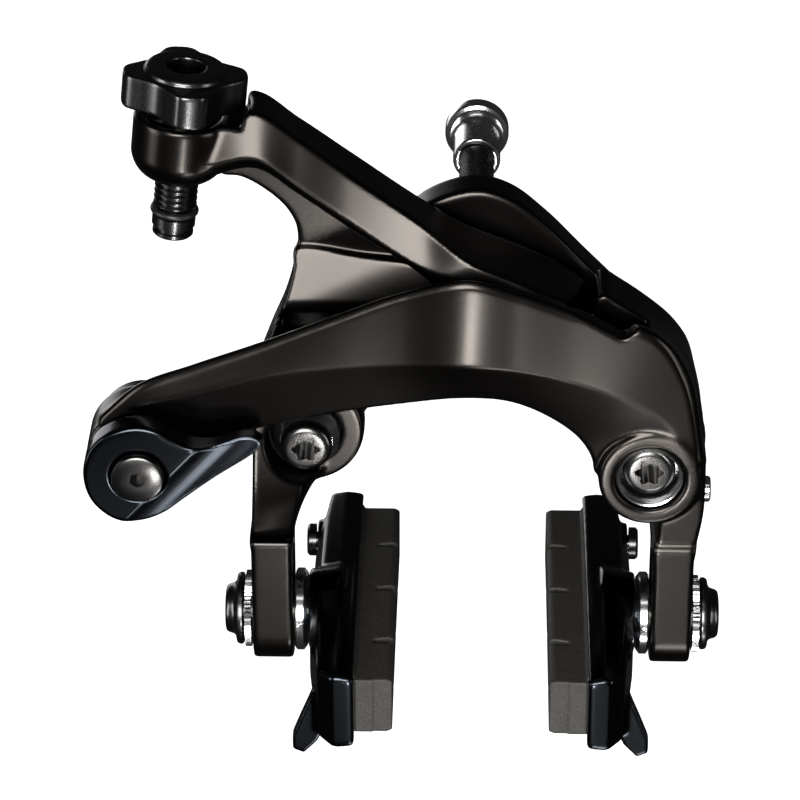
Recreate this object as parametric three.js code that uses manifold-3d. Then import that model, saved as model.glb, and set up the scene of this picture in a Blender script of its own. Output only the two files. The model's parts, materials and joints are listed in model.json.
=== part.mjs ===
// Dual-pivot rim brake caliper with a barrel adjuster, a quick-release lever and two cartridge brake shoes.
// Millimetres. +X is the side of the cable arm's leg, -Y is the front, +Z is up.
// The origin is on the mounting bolt's axis, in the plane of the fork crown's front face.
import * as THREE from 'three';
import { mergeVertices } from 'three/addons/utils/BufferGeometryUtils.js';
import Module from 'manifold-3d';

const wasm = await Module();
wasm.setup();

// ---- driving dimensions -------------------------------------------------------------------------
const GAP = 0.3; // clearance between neighbouring pieces
const ROUND = 26; // sides of a large circle
const SMALL_ROUND = 16; // sides of a small circle

const WASHER_THICK = 2;
const BRIDGE_BACK = -2.3;
const BRIDGE_FRONT = -9;
const ARM_BACK = -10.6; // rear face of the adjuster arm's pivot boss
const ARCH_BACK = -17.3; // rear face of the cable arm's arch
const LIP_BACK = -26.2; // rear face of the thin lip that stands in front of the adjuster arm's tip
const SHOULDER_FRONT = -20.5; // front face of the cable arm's shoulder, the rear wall of the pocket

const LEFT_PIVOT = { x: -26.8, z: -23.4 };
const RIGHT_PIVOT = { x: 27.8, z: -23.2 };
const PIVOT_SHANK = 3; // radius
const PIVOT_HEAD = 4.15; // radius
const LEFT_BOSS = 9; // radius
const RIGHT_BOSS = 8.1; // radius
const LEFT_BOSS_FRONT = -14.6;
const RIGHT_BOSS_FRONT = -29.3;
const LEFT_HEAD_FRONT = -20.4;
const LEFT_BUSH_FRONT = -17.8;
const RIGHT_HEAD_FRONT = -27;

const BOLT_RADIUS = 3;
const BOLT_END = 42;
const NUT_MOUTH = 38.5;
const NUT_FLANGE_FRONT = 49;
const NUT_BACK = 53.5;

const ADJUSTER = { x: -45.8, y: -15, z: 28, lean: 5.9 }; // middle of the adjuster's boss, degrees off upright
const BOSS_RADIUS = 7.5;
const BOSS_TOP = 5; // heights along the leaning axis
const WASHER_SEAT = 4.1;
const KNOB_LOW = 6.4;
const KNOB_HIGH = 11.6;
const BARREL_RADIUS = 3.4;
const CABLE_BORE = 2.6; // radius of the hole for the cable housing
const WIRE_BORE = 1.2; // radius of the hole below it for the bare cable
const KNOB_REACH = 9.6;

const ANCHOR = { x: -52.6, z: -22 }; // quick-release axis
const LEVER_BACK = -27.4;
const LEVER_FRONT = -32;
const LEVER_HUB = 8.7; // radius

const STUD = { y: -22, z: -52.3 };
const SLOT_LOW = -54;
const SLOT_HIGH = -44;
const SLOT_HALF = 3.3;
const LEG_HALF_DEPTH = 6.5;
const LEG_INNER = 28.9; // distance of each leg's inner face from the middle plane
const LEG_OUTER = 35.4;
const PAD_FACE = 12.3; // half of the gap between the two pads
const PAD_BACK = 4.5;
const PAD_FRONT = -48.5;
const PAD_MIDDLE = (PAD_BACK + PAD_FRONT) / 2;
const RIM_RADIUS = 311; // the shoes bend along the rim

// ---- materials ----------------------------------------------------------------------------------
const finish = (color, roughness, metalness) => new THREE.MeshStandardMaterial({ color, roughness,
    metalness });
const anodised = () => finish(0x15120f, 0.38, 0.75);
const glossBlack = () => finish(0x0b0d12, 0.18, 0.5);
const blackSteel = () => finish(0x17171a, 0.4, 0.7);
const silver = () => finish(0xc9cacc, 0.25, 1);
const greySteel = () => finish(0x6c6c6e, 0.35, 1);
const rubber = () => finish(0x201b18, 0.85, 0);
const softRubber = () => finish(0x0d0d0d, 0.6, 0);
const nylon = () => finish(0x1b1b1b, 0.55, 0);

// ---- solids -------------------------------------------------------------------------------------
// A closed three.js geometry as a solid that can be joined and cut.
function solid(geometry) {
  const bare = geometry.clone();
  bare.deleteAttribute('normal');
  bare.deleteAttribute('uv');
  const merged = mergeVertices(bare, 1e-4);
  const triVerts = Uint32Array.from(merged.index.array);
  const vertProperties = Float32Array.from(merged.attributes.position.array);
  const kept = [];
  for (let i = 0; i < triVerts.length; i += 3) {
    const [a, b, c] = triVerts.subarray(i, i + 3);
    if (a !== b && b !== c && c !== a) kept.push(a, b, c);
  }
  const make = (list) => new wasm.Manifold(new wasm.Mesh({
    numProp: 3, vertProperties, triVerts: Uint32Array.from(list),
  }));
  const made = make(kept);
  if (made.volume() > 0) return made;
  const flipped = [];
  for (let i = 0; i < kept.length; i += 3) flipped.push(kept[i], kept[i + 2], kept[i + 1]);
  return make(flipped);
}

function geometryOf(body) {
  const mesh = body.getMesh();
  const geometry = new THREE.BufferGeometry();
  geometry.setAttribute('position', new THREE.BufferAttribute(Float32Array.from(mesh.vertProperties), 3));
  geometry.setIndex(Array.from(mesh.triVerts));
  geometry.computeVertexNormals();
  return geometry;
}

function piece(name, body, material) {
  const mesh = new THREE.Mesh(geometryOf(body), material);
  mesh.name = name;
  return mesh;
}

const join = (first, ...rest) => rest.reduce((all, one) => all.add(one), first);
const cut = (first, ...rest) => rest.reduce((all, one) => all.subtract(one), first);

function outline(points) {
  const shape = new THREE.Shape();
  points.forEach(([a, b], i) => (i ? shape.lineTo(a, b) : shape.moveTo(a, b)));
  shape.closePath();
  return shape;
}

// A closed smooth outline through the points, with a given number of steps.
function smoothOutline(points, steps) {
  const curve = new THREE.CatmullRomCurve3(points.map(([a, b]) => new THREE.Vector3(a, b, 0)), true,
      'centripetal');
  return outline(curve.getPoints(steps).slice(0, -1).map((p) => [p.x, p.y]));
}

function extrude(shape, depth, bevel = 0) {
  return new THREE.ExtrudeGeometry(shape, {
    depth: depth - 2 * bevel, bevelEnabled: bevel > 0, bevelThickness: bevel, bevelSize: bevel,
    bevelOffset: -bevel, bevelSegments: 1, curveSegments: 12,
  }).translate(0, 0, bevel);
}

// A front-view outline (x, z) that fills the depth from back to front.
function frontPlate(shape, back, front, bevel = 0) {
  return solid(extrude(shape, back - front, bevel).rotateX(Math.PI / 2).translate(0, back, 0));
}

// A side-view outline (y, z) that fills the width from x0 to x1.
const SIDE = new THREE.Matrix4().makeBasis(
  new THREE.Vector3(0, 1, 0), new THREE.Vector3(0, 0, 1), new THREE.Vector3(1, 0, 0));
function sidePlate(shape, x0, x1, bevel = 0) {
  return solid(extrude(shape, x1 - x0, bevel).applyMatrix4(SIDE).translate(x0, 0, 0));
}

// A turned solid: profile pairs (radius, distance along the axis) that start and end on the axis.
function turned(profile, axis, sides = ROUND) {
  const geometry = new THREE.LatheGeometry(profile.map(([r, t]) => new THREE.Vector2(r, t)), sides);
  if (axis === 'x') geometry.rotateZ(-Math.PI / 2);
  if (axis === 'z') geometry.rotateX(Math.PI / 2);
  return solid(geometry);
}

const rod = (radius, from, to, axis, sides) => turned([[0, from], [radius, from], [radius, to],
    [0, to]], axis, sides);
const ring = (outer, inner, from, to, axis, sides) => turned(
  [[inner, from], [outer, from], [outer, to], [inner, to], [inner, from]], axis, sides);
const box = (x0, x1, y0, y1, z0, z1) => solid(
  new THREE.BoxGeometry(x1 - x0, y1 - y0, z1 - z0).translate((x0 + x1) / 2, (y0 + y1) / 2, (z0 + z1) / 2));

// What is made for the +X side, put on its own side.
const sided = (body, side) => (side === 'left' ? body.mirror([1, 0, 0]) : body);

// A beam whose long edges are smooth curves. Each rail lists its points (x, y, z) from one end to the other.
function beam(rails, steps) {
  const curves = rails.map((rail) => new THREE.CatmullRomCurve3(
    rail.map(([x, y, z]) => new THREE.Vector3(x, y, z)), false, 'centripetal'));
  const count = rails[0].length - 1;
  const around = curves.length;
  const points = [];
  for (let s = 0; s <= steps; s += 1) {
    const place = s / steps;
    for (const curve of curves) points.push(curve.getPoint(place));
  }
  const index = [];
  for (let s = 0; s < steps; s += 1) {
    for (let k = 0; k < around; k += 1) {
      const a = s * around + k;
      const b = s * around + ((k + 1) % around);
      index.push(a, b, b + around, a, b + around, a + around);
    }
  }
  const last = steps * around;
  for (let k = 1; k < around - 1; k += 1) {
    index.push(0, k + 1, k);
    index.push(last, last + k, last + k + 1);
  }
  if (count < 2) throw new Error('a rail needs at least three points');
  const geometry = new THREE.BufferGeometry().setFromPoints(points);
  geometry.setIndex(index);
  return solid(geometry);
}

// A round wire along a smooth open path.
function wire(points, radius, steps, sides = 8) {
  const path = new THREE.CatmullRomCurve3(points.map(([x, y, z]) => new THREE.Vector3(x, y, z)), false,
      'centripetal');
  const section = new THREE.Shape();
  for (let i = 0; i < sides; i += 1) {
    const turn = (2 * Math.PI * i) / sides;
    const at = [radius * Math.cos(turn), radius * Math.sin(turn)];
    if (i) section.lineTo(...at);
    else section.moveTo(...at);
  }
  section.closePath();
  return solid(new THREE.ExtrudeGeometry(section, { steps, extrudePath: path, bevelEnabled: false }));
}

// A straight-sided pocket for a six-lobe key.
function sixLobe(radius) {
  const points = [];
  for (let i = 0; i < 24; i += 1) {
    const turn = (2 * Math.PI * i) / 24;
    const reach = radius * (1 + 0.17 * Math.cos(6 * turn));
    points.push([reach * Math.cos(turn), reach * Math.sin(turn)]);
  }
  return outline(points);
}

function hexagon(radius, turn = 0) {
  return outline(Array.from({ length: 6 }, (_, i) => {
    const at = turn + (Math.PI * i) / 3;
    return [radius * Math.cos(at), radius * Math.sin(at)];
  }));
}

// ---- mounting hardware --------------------------------------------------------------------------
function makeBridge() {
  const plate = frontPlate(smoothOutline([
    [-27, -32], [-33.5, -29], [-34.6, -22], [-30, -13], [-20, 2], [-13, 9.6], [-7.5, 14.8], [0, 17.2],
    [5.5, 15.7], [11, 11.3], [17, 5], [24, -2.5], [31, -12.5], [35, -21], [34, -29], [28, -32],
    [21, -27], [14, -18.5], [0, -13.5], [-14, -18.5], [-21, -28],
  ], 63), BRIDGE_BACK, BRIDGE_FRONT, 0.8);
  const boltHole = rod(BOLT_RADIUS + GAP, -14, 0, 'y', SMALL_ROUND);
  const headPocket = rod(5.4, -14, -5.4, 'y', SMALL_ROUND);
  const pivotHole = ({ x, z }) => rod(PIVOT_SHANK + GAP, -10, 0, 'y', SMALL_ROUND).translate(x, 0, z);
  return piece('bridge', cut(plate, boltHole, headPocket, pivotHole(LEFT_PIVOT), pivotHole(RIGHT_PIVOT)),
    anodised());
}

function makeMountingBolt() {
  const body = turned([
    [0, -8.8], [4.6, -8.8], [5, -8.4], [5, -5.7], [BOLT_RADIUS, -5.7], [BOLT_RADIUS, 24],
    [BOLT_RADIUS - 0.3, 24.4], [BOLT_RADIUS - 0.3, BOLT_END - 0.6], [BOLT_RADIUS - 0.8, BOLT_END],
        [0, BOLT_END],
  ], 'y', SMALL_ROUND);
  const socket = frontPlate(hexagon(2.9), -6.4, -13);
  return piece('mounting_bolt', cut(body, socket), blackSteel());
}

// Toothed on both faces so that it grips the fork.
function makeForkWasher() {
  const points = [];
  for (let i = 0; i < 40; i += 1) {
    const turn = (Math.PI * i) / 20;
    const reach = i % 2 ? 7.6 : 8.1;
    points.push([reach * Math.cos(turn), reach * Math.sin(turn)]);
  }
  const disc = frontPlate(outline(points), 0, -WASHER_THICK, 0.25);
  return piece('fork_washer', cut(disc, rod(BOLT_RADIUS + GAP, -3, 1, 'y', SMALL_ROUND)), greySteel());
}

// A sleeve nut with a stepped flange: open at its mouth, with a hex socket in the flange end.
function makeSleeveNut() {
  const shell = turned([
    [0, NUT_MOUTH], [3.6, NUT_MOUTH], [4.05, NUT_MOUTH + 0.5], [4.05, NUT_FLANGE_FRONT - 1.6],
    [4.6, NUT_FLANGE_FRONT - 1.2], [4.6, NUT_FLANGE_FRONT], [5.5, NUT_FLANGE_FRONT + 0.4],
    [5.5, NUT_BACK - 1.6], [5, NUT_BACK - 1], [4.7, NUT_BACK - 1], [4.4, NUT_BACK], [0, NUT_BACK],
  ], 'y');
  const bore = rod(BOLT_RADIUS + 0.2, NUT_MOUTH - 1, NUT_BACK - 5, 'y', SMALL_ROUND);
  const socket = frontPlate(hexagon(2.9), NUT_BACK + 1, NUT_BACK - 5.5);
  return piece('sleeve_nut', cut(shell, bore, socket), silver());
}

// ---- pivots -------------------------------------------------------------------------------------
function pivotBolt(name, pivot, headFront, seat) {
  const body = turned([
    [0, headFront], [PIVOT_HEAD - 0.6, headFront], [PIVOT_HEAD, headFront + 0.5], [PIVOT_HEAD, seat],
    [PIVOT_SHANK, seat], [PIVOT_SHANK, BRIDGE_BACK - 1.2], [PIVOT_SHANK - 0.5, BRIDGE_BACK - 0.6],
    [0, BRIDGE_BACK - 0.6],
  ], 'y');
  const socket = frontPlate(sixLobe(2), headFront + 1.7, headFront - 1);
  return piece(name, cut(body, socket).translate(pivot.x, 0, pivot.z), greySteel());
}

function makeLeftBush() {
  const body = ring(5.3, PIVOT_SHANK + 0.1, ARM_BACK + 0.2, LEFT_BUSH_FRONT, 'y');
  return piece('left_pivot_bush', body.translate(LEFT_PIVOT.x, 0, LEFT_PIVOT.z), silver());
}

// The right bush is stepped: a wide cup around the bolt's head and a narrow sleeve behind it.
function makeRightBush() {
  const body = turned([
    [PIVOT_SHANK + 0.1, ARM_BACK + 0.2], [5.3, ARM_BACK + 0.2], [5.3, -28.7], [4.75, -28.7], [4.5, -24.1],
    [PIVOT_SHANK + 0.1, -24.1], [PIVOT_SHANK + 0.1, ARM_BACK + 0.2],
  ], 'y');
  return piece('right_pivot_bush', body.translate(RIGHT_PIVOT.x, 0, RIGHT_PIVOT.z), silver());
}

function thrustWasher(name, pivot) {
  const body = ring(6.6, PIVOT_SHANK + 0.1, BRIDGE_FRONT - GAP, ARM_BACK + GAP, 'y');
  return piece(name, body.translate(pivot.x, 0, pivot.z), nylon());
}

// ---- legs that carry the shoes ------------------------------------------------------------------
// The leg is a plate on edge: round at its foot, with an upright slot for the shoe's stud.
function leg(side, top) {
  const shape = new THREE.Shape();
  const front = STUD.y - LEG_HALF_DEPTH;
  const back = STUD.y + LEG_HALF_DEPTH;
  shape.moveTo(front, top);
  shape.lineTo(front, SLOT_LOW);
  shape.absarc(STUD.y, SLOT_LOW, LEG_HALF_DEPTH, Math.PI, 2 * Math.PI, false);
  shape.lineTo(back, top);
  shape.closePath();
  const slot = new THREE.Path();
  slot.moveTo(STUD.y - SLOT_HALF, SLOT_HIGH);
  slot.lineTo(STUD.y - SLOT_HALF, SLOT_LOW);
  slot.absarc(STUD.y, SLOT_LOW, SLOT_HALF, Math.PI, 2 * Math.PI, false);
  slot.lineTo(STUD.y + SLOT_HALF, SLOT_HIGH);
  slot.absarc(STUD.y, SLOT_HIGH, SLOT_HALF, 0, Math.PI, false);
  shape.holes.push(slot);
  return sided(sidePlate(shape, LEG_INNER, LEG_OUTER, 0.6), side);
}

// ---- adjuster arm: adjuster boss, sloping beam, web, left pivot boss and left leg ----------------
// The tip's underside slides along the roller on a line that falls to the right by this many degrees.
const LINK_SLOPE = 26.1;
const linkHeight = (x, lift) => 3.4 + lift - x * Math.tan(THREE.MathUtils.degToRad(LINK_SLOPE));

function leaning(body) {
  return body.rotate(0, ADJUSTER.lean, 0).translate(ADJUSTER.x, ADJUSTER.y, ADJUSTER.z);
}

function adjusterBoss() {
  const cup = turned([
    [0, -5.6], [4, -5.6], [5.6, -5], [6.9, -3.6], [BOSS_RADIUS, -1.8], [BOSS_RADIUS, BOSS_TOP - 0.3],
    [BOSS_RADIUS - 0.3, BOSS_TOP], [0, BOSS_TOP],
  ], 'z');
  return leaning(cup);
}

function makeAdjusterArm() {
  const under = (x, y) => [x, y, linkHeight(x, 0)];
  const sloping = beam([
    [[-42, -11, 31.5], [-34.5, -10.9, 35.2], [-27.4, -10.9, 30.6], [-19.7, -10.9, 25], [-9.1, -10.9, 17.3],
      [-1.6, -11, 12.6], [7, -11.4, 9.2], [13.3, -11.8, 6.3], [17, -13, 3.6]],
    [[-42, -20, 31], [-34, -19.6, 35], [-27, -19.8, 30.6], [-19.4, -20.2, 24.9], [-8.9, -22, 18],
      [-1, -25.3, 12.9], [5.6, -25.6, 10.3], [11, -25.6, 7.4], [13.8, -25.6, 5.6]],
    [[-42, -21.4, 26.5], [-34, -21.9, 28.3], [-27.6, -22, 23.9], [-19.8, -22.4, 18.2], [-8.8, -24.2, 11.4],
      [-2, -25.8, 10], [5.6, -25.9, 8], [11, -25.9, 5.4], [13.8, -25.9, 4]],
    [[-42, -20, 24], [-34, -20.6, 26.2], [-27.6, -20.8, 22.1], [-19.8, -21.2, 16.6], [-8.8, -23.4, 9.9],
      under(-2, -25.6), under(5.6, -25.6), under(11, -25.6), under(13.8, -25.6)],
    [[-42, -11, 23.4], [-34, -10.9, 25], [-27.6, -10.9, 21], [-19.8, -10.9, 15.5], [-8.8, -10.9, 9],
      under(-2, -11), under(6.7, -11.4), under(13, -11.8), under(16.4, -13)],
  ], 24);
  const web = frontPlate(smoothOutline([
    [-42, 26], [-40, 21.8], [-36.6, 21.2], [-32.6, 18.8], [-29.6, 15.8], [-28.1, 12.5], [-28.2, 7.5],
        [-29.8, 1.5],
    [-32.4, -5], [-35, -13], [-35.6, -22], [-33, -30], [-26.8, -32.2], [-20, -29], [-17.8, -23], [-18.6, -16],
    [-15, -8], [-8, -2], [-3, 5], [-6, 12], [-20, 22], [-34, 32],
  ], 52), ARM_BACK, -13.4, 0.5);
  const thickWeb = frontPlate(smoothOutline([
    [-28.3, 9.2], [-28.7, 6], [-30.2, 0.5], [-32.6, -5.5], [-35, -13], [-35.4, -22], [-32, -25], [-26, -13.5],
    [-17, -9], [-9, -2], [-5, 4], [-8, 6.6], [-18, 8.2],
  ], 39), -12, -16.9, 0.5);
  const boss = frontPlate(outline(arcPoints(LEFT_PIVOT, LEFT_BOSS, 0, 360, ROUND)), ARM_BACK,
      LEFT_BOSS_FRONT, 0.5);
  const shoulder = beam([
    [[-35.4, -12.5, -20], [-35.4, -14.5, -30], [-35.4, -15.6, -38]],
    [[-24, -12.5, -22], [-24.5, -14.5, -30], [-28.9, -15.6, -36.6]],
    [[-28, -16.8, -20], [-27.5, -20, -30], [-28.9, -27.6, -36.8]],
    [[-35.4, -16.8, -18], [-35.4, -21.5, -29], [-35.4, -27.6, -37]],
  ], 10);
  const foot = leg('left', -36);
  const body = join(web, sloping, thickWeb, boss, adjusterBoss(), shoulder, foot);
  const pivotHole = rod(5.3 + GAP, -30, 0, 'y', SMALL_ROUND).translate(LEFT_PIVOT.x, 0, LEFT_PIVOT.z);
  const headRoom = rod(6.6, -30, LEFT_BOSS_FRONT, 'y', SMALL_ROUND).translate(LEFT_PIVOT.x, 0, LEFT_PIVOT.z);
  const barrelHole = leaning(rod(BARREL_RADIUS + GAP, -20, 20, 'z', SMALL_ROUND));
  const washerRoom = leaning(rod(5.9, WASHER_SEAT, 20, 'z', ROUND));
  const knobRoom = leaning(box(-12, KNOB_REACH + 0.9, -12, 12, KNOB_LOW - 0.8, 20));
  return piece('adjuster_arm', cut(body, pivotHole, headRoom, barrelHole, washerRoom, knobRoom), anodised());
}

function arcPoints(centre, radius, from, to, sides) {
  const points = [];
  const whole = to - from === 360;
  for (let i = 0; i < sides + (whole ? 0 : 1); i += 1) {
    const turn = THREE.MathUtils.degToRad(from + ((to - from) * i) / sides);
    points.push([centre.x + radius * Math.cos(turn), centre.z + radius * Math.sin(turn)]);
  }
  return points;
}

// ---- cable arm: anchor plate, arch, right pivot boss and right leg -------------------------------
function makeCableArm() {
  const arch = beam([
    [[-58.8, ARCH_BACK, -19.4], [-53, ARCH_BACK, -14.4], [-44, ARCH_BACK, -10.6], [-33, ARCH_BACK, -6.2],
      [-22.4, ARCH_BACK, -2], [-11, ARCH_BACK, 2.4], [-1, ARCH_BACK, 4.6], [9, ARCH_BACK, 3.2],
      [19, ARCH_BACK, 1.6], [27.4, ARCH_BACK, -1], [33.4, ARCH_BACK, -6.5], [36.4, ARCH_BACK, -20]],
    [[-59, -25.2, -14.8], [-52.5, -25.8, -8.6], [-44, -26.6, -4.8], [-33, -27.6, -0.2],
      [-22.4, -28.4, 4.6], [-11, -29.3, 9.6], [-1, -29.6, 12.2], [7, -29.6, 10],
      [15, -29.3, 6.8], [28, -28.8, 2.6], [33.4, -28.2, -5], [36.4, -28.2, -20]],
    [[-59.2, -26, -15.6], [-52.5, -26.6, -9.8], [-44, -27.3, -6], [-33, -28.3, -1.3],
      [-22.4, -29.2, 3.5], [-11, -29.9, 8.5], [-1, -30.2, 11.1], [7, -30.2, 8.9],
      [15, -30, 5.7], [27.6, -29.6, 1.6], [32.6, -29.2, -6], [35.6, -29.2, -20]],
    [[-58.6, -26.2, -16.4], [-52, -27, -12.2], [-43.6, -27.9, -9.4], [-32, -28.9, -5.6],
      [-22, -29.4, -4], [-11, -30, -2.9], [-1.6, -30.3, -2.4], [6.5, -30.2, -3.3],
      [14.5, -30, -5.2], [23, -29.7, -8.4], [30, -29.4, -13], [34.6, -29.3, -21]],
    [[-56.5, -23.5, -22], [-50, -24, -18.6], [-42.6, -25, -16.5], [-32, -26.2, -13.6],
      [-21.5, -26.8, -12], [-11, -27.2, -10.8], [-1.4, -27.4, -10], [5.5, -27.3, -10.6],
      [11.5, -27.2, -13.2], [16.4, -27.2, -17], [18.6, -27.4, -20.6], [19, -27.6, -23.2]],
    [[-56.5, ARCH_BACK, -22], [-50, ARCH_BACK, -18.6], [-42.6, ARCH_BACK, -16.5], [-32, ARCH_BACK, -13.6],
      [-21.5, ARCH_BACK, -12], [-11, ARCH_BACK, -10.8], [-1.4, ARCH_BACK, -10], [5.5, ARCH_BACK, -10.6],
      [11.5, ARCH_BACK, -13.2], [16.4, ARCH_BACK, -17], [18.6, ARCH_BACK, -20.6], [19, ARCH_BACK, -23.2]],
  ], 33);
  const anchorPlate = frontPlate(outline(arcPoints(ANCHOR, LEVER_HUB, 0, 360, ROUND)), ARCH_BACK, -26, 0.8);
  const boss = frontPlate(
    outline(arcPoints(RIGHT_PIVOT, RIGHT_BOSS, 0, 360, ROUND)), ARCH_BACK, RIGHT_BOSS_FRONT, 0.6);
  // behind the arch: the deep shoulder that runs from the tip's pocket down to the right pivot
  const shoulder = frontPlate(smoothOutline([
    [18.4, 6.6], [22.5, 3.5], [27, 0.3], [31, -3.2], [33.8, -7.2], [35.2, -12], [36.4, -18], [36.4, -24],
    [34.5, -28.4], [28, -31.2], [21.6, -28], [19.6, -22], [19.5, -12], [18.2, -3],
  ], 39), ARM_BACK, SHOULDER_FRONT, 0.6);
  const outer = beam([
    [[31, -15.6, -20], [29.6, -15.6, -31], [28.9, -15.6, -39]],
    [[36.6, -15.6, -20], [36.6, -15.6, -30], [35.4, -15.6, -38]],
    [[36.6, -28.4, -20], [36.6, -28, -30], [35.4, -27.7, -38]],
    [[31, -28.4, -20], [29.6, -28, -31], [28.9, -27.7, -39]],
  ], 8);
  const foot = leg('right', -36.5);
  const body = join(arch, anchorPlate, boss, shoulder, outer, foot);

  // room for the adjuster arm's tip, open to the back behind the thin lip
  // its floor falls away to the left, because the two arms turn in opposite directions
  const floor = (x) => linkHeight(x, -1.8);
  const room = frontPlate(outline([
    [-16, floor(-16) - 6], [ROLLER.x - 2, floor(ROLLER.x) - 0.4], [18, floor(18) - 0.4], [18, 14], [-16, 26],
  ]), 0, LIP_BACK);
  // the pocket beside the tip: the shoulder is its rear wall, and a notch opens it through the lip
  const pocket = frontPlate(outline([
    [14, floor(14)], [23.2, floor(23.2)], [27, 0.4], [27, 12], [14, 14],
  ]), SHOULDER_FRONT, LIP_BACK);
  const notch = frontPlate(outline([
    [12.4, 8.4], [15.3, 6.3], [19.2, 4.1], [22.5, 2.1], [23.4, 2.1], [26.5, 4.8], [27.4, 9], [20, 14],
  ]), -20, -40);
  const pivotHole = rod(5.3 + GAP, -40, 0, 'y', SMALL_ROUND).translate(RIGHT_PIVOT.x, 0, RIGHT_PIVOT.z);
  const faceRecess = ring(8, 6.4, -40, RIGHT_BOSS_FRONT + 0.8, 'y').translate(RIGHT_PIVOT.x, 0,
      RIGHT_PIVOT.z);
  const shaftHole = rod(4 + GAP, -40, 0, 'y', SMALL_ROUND).translate(ANCHOR.x, 0, ANCHOR.z);
  const leverSeat = rod(LEVER_HUB + 0.6, -40, -26.6, 'y').translate(ANCHOR.x, 0, ANCHOR.z);
  const screwHole = rod(1.5 + GAP, 30, 45, 'x', SMALL_ROUND).translate(0, CENTRING.y, CENTRING.z);
  const pinHole = rod(1.5 + GAP, LIP_BACK - 2, -15, 'y', SMALL_ROUND).translate(ROLLER.x, 0, ROLLER.z);
  const rollerRoom = rod(ROLLER.radius + 0.5, LIP_BACK, -18.6, 'y', SMALL_ROUND).translate(ROLLER.x, 0,
      ROLLER.z);
  return piece('cable_arm', cut(body, room, pocket, notch, pivotHole, faceRecess, shaftHole, leverSeat,
      screwHole,
    pinHole, rollerRoom), anodised());
}

// ---- link between the two arms ------------------------------------------------------------------
const ROLLER = { x: 9.5, radius: 2.9 };
ROLLER.z = linkHeight(ROLLER.x, 0) - (ROLLER.radius + GAP) / Math.cos(THREE.MathUtils.degToRad(LINK_SLOPE));

function makeLinkRoller() {
  const body = ring(ROLLER.radius, 1.8, -25.6, -21, 'y', SMALL_ROUND);
  return piece('link_roller', body.translate(ROLLER.x, 0, ROLLER.z), nylon());
}

function makeRollerPin() {
  const body = rod(1.5, LIP_BACK - 1.7, -17.6, 'y', SMALL_ROUND);
  return piece('roller_pin', body.translate(ROLLER.x, 0, ROLLER.z), greySteel());
}

// ---- return spring and its centring screw --------------------------------------------------------
const SPRING_WIRE = 0.8; // radius
const SEAT = { y: -13.6, z: -38.5 };
const SEAT_END = 34.5; // closed end of the seat's slot: the wire needs 1.7 mm beside it when the arms close
const CENTRING = { y: -20, z: -30 };

// The wire bows over the mounting bolt behind the bridge; both ends turn forward into a seat on each arm.
function makeReturnSpring() {
  const half = [[31.8, SEAT.y + 0.6, SEAT.z], [31.8, -9, SEAT.z], [32, -3, SEAT.z + 1], [32.6, -1.1, -33],
    [33, -1.1, -22], [27.5, -1.1, -11], [19.5, -1.1, -2.4], [10, -1.1, 5.6]];
  const right = half.map(([x, y, z]) => [x, y, z]);
  const left = half.map(([x, y, z]) => [-x, y, z]).reverse();
  return piece('return_spring', wire([...right, [0, -1.1, 9.6], ...left], SPRING_WIRE, 48, 6), greySteel());
}

// A nylon block on the rear of the leg, with a slot that lets the wire's end slide as the arm turns.
function springSeat(side) {
  const body = box(29.4, LEG_OUTER, STUD.y + LEG_HALF_DEPTH + GAP, SEAT.y + 1.6, SEAT.z - 3, SEAT.z + 3);
  const slot = box(28, SEAT_END, SEAT.y, SEAT.y + 3, SEAT.z - 1.3, SEAT.z + 1.3);
  const seat = cut(body, slot);
  return piece(`${side}_spring_seat`, sided(seat, side), nylon());
}

function makeCentringScrew() {
  const body = turned([[0, 32], [1.1, 32], [1.5, 32.5], [1.5, 36.9], [2.1, 36.9], [2.1, 37.7],
      [1.8, 38], [0, 38]],
    'x', SMALL_ROUND);
  const socket = sidePlate(hexagon(1), 37.1, 40);
  return piece('centring_screw', cut(body, socket).translate(0, CENTRING.y, CENTRING.z), silver());
}

// ---- cable adjuster: everything here lies on the boss's leaning axis ------------------------------
const O_RING = -11.5;
const BARREL_LOW = -15.7;
const BORE_STEP = -4; // where the housing's hole ends
const THREAD_PITCH = 1;

// Four blunt lobes with hollow flanks between them.
function knobOutline() {
  const points = [];
  for (let lobe = 0; lobe < 4; lobe += 1) {
    const middle = THREE.MathUtils.degToRad(100 + 90 * lobe);
    for (const [turn, reach] of [[-0.23, 0.97], [-0.12, 1], [0.12, 1], [0.23, 0.97], [0.42, 0.84],
        [0.6, 0.755],
      [Math.PI / 4, 0.725], [0.97, 0.755], [1.15, 0.84]]) {
      points.push([KNOB_REACH * reach * Math.cos(middle + turn),
          KNOB_REACH * reach * Math.sin(middle + turn)]);
    }
  }
  return outline(points);
}

function makeKnob() {
  const star = solid(extrude(knobOutline(), KNOB_HIGH - KNOB_LOW, 0.5).translate(0, 0, KNOB_LOW));
  const crown = turned([[0, KNOB_HIGH - 1], [6.3, KNOB_HIGH - 1], [6.3, KNOB_HIGH + 0.5],
      [5.7, KNOB_HIGH + 1.1],
    [0, KNOB_HIGH + 1.1]], 'z');
  const skirt = rod(5.2, WASHER_SEAT + 1.6, KNOB_LOW + 1, 'z');
  const bore = rod(BARREL_RADIUS + GAP, 0, KNOB_HIGH - 0.3, 'z', SMALL_ROUND);
  const mouth = rod(3.05, 0, 20, 'z', SMALL_ROUND);
  return piece('adjuster_knob', leaning(cut(join(star, crown, skirt), bore, mouth)), blackSteel());
}

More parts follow.
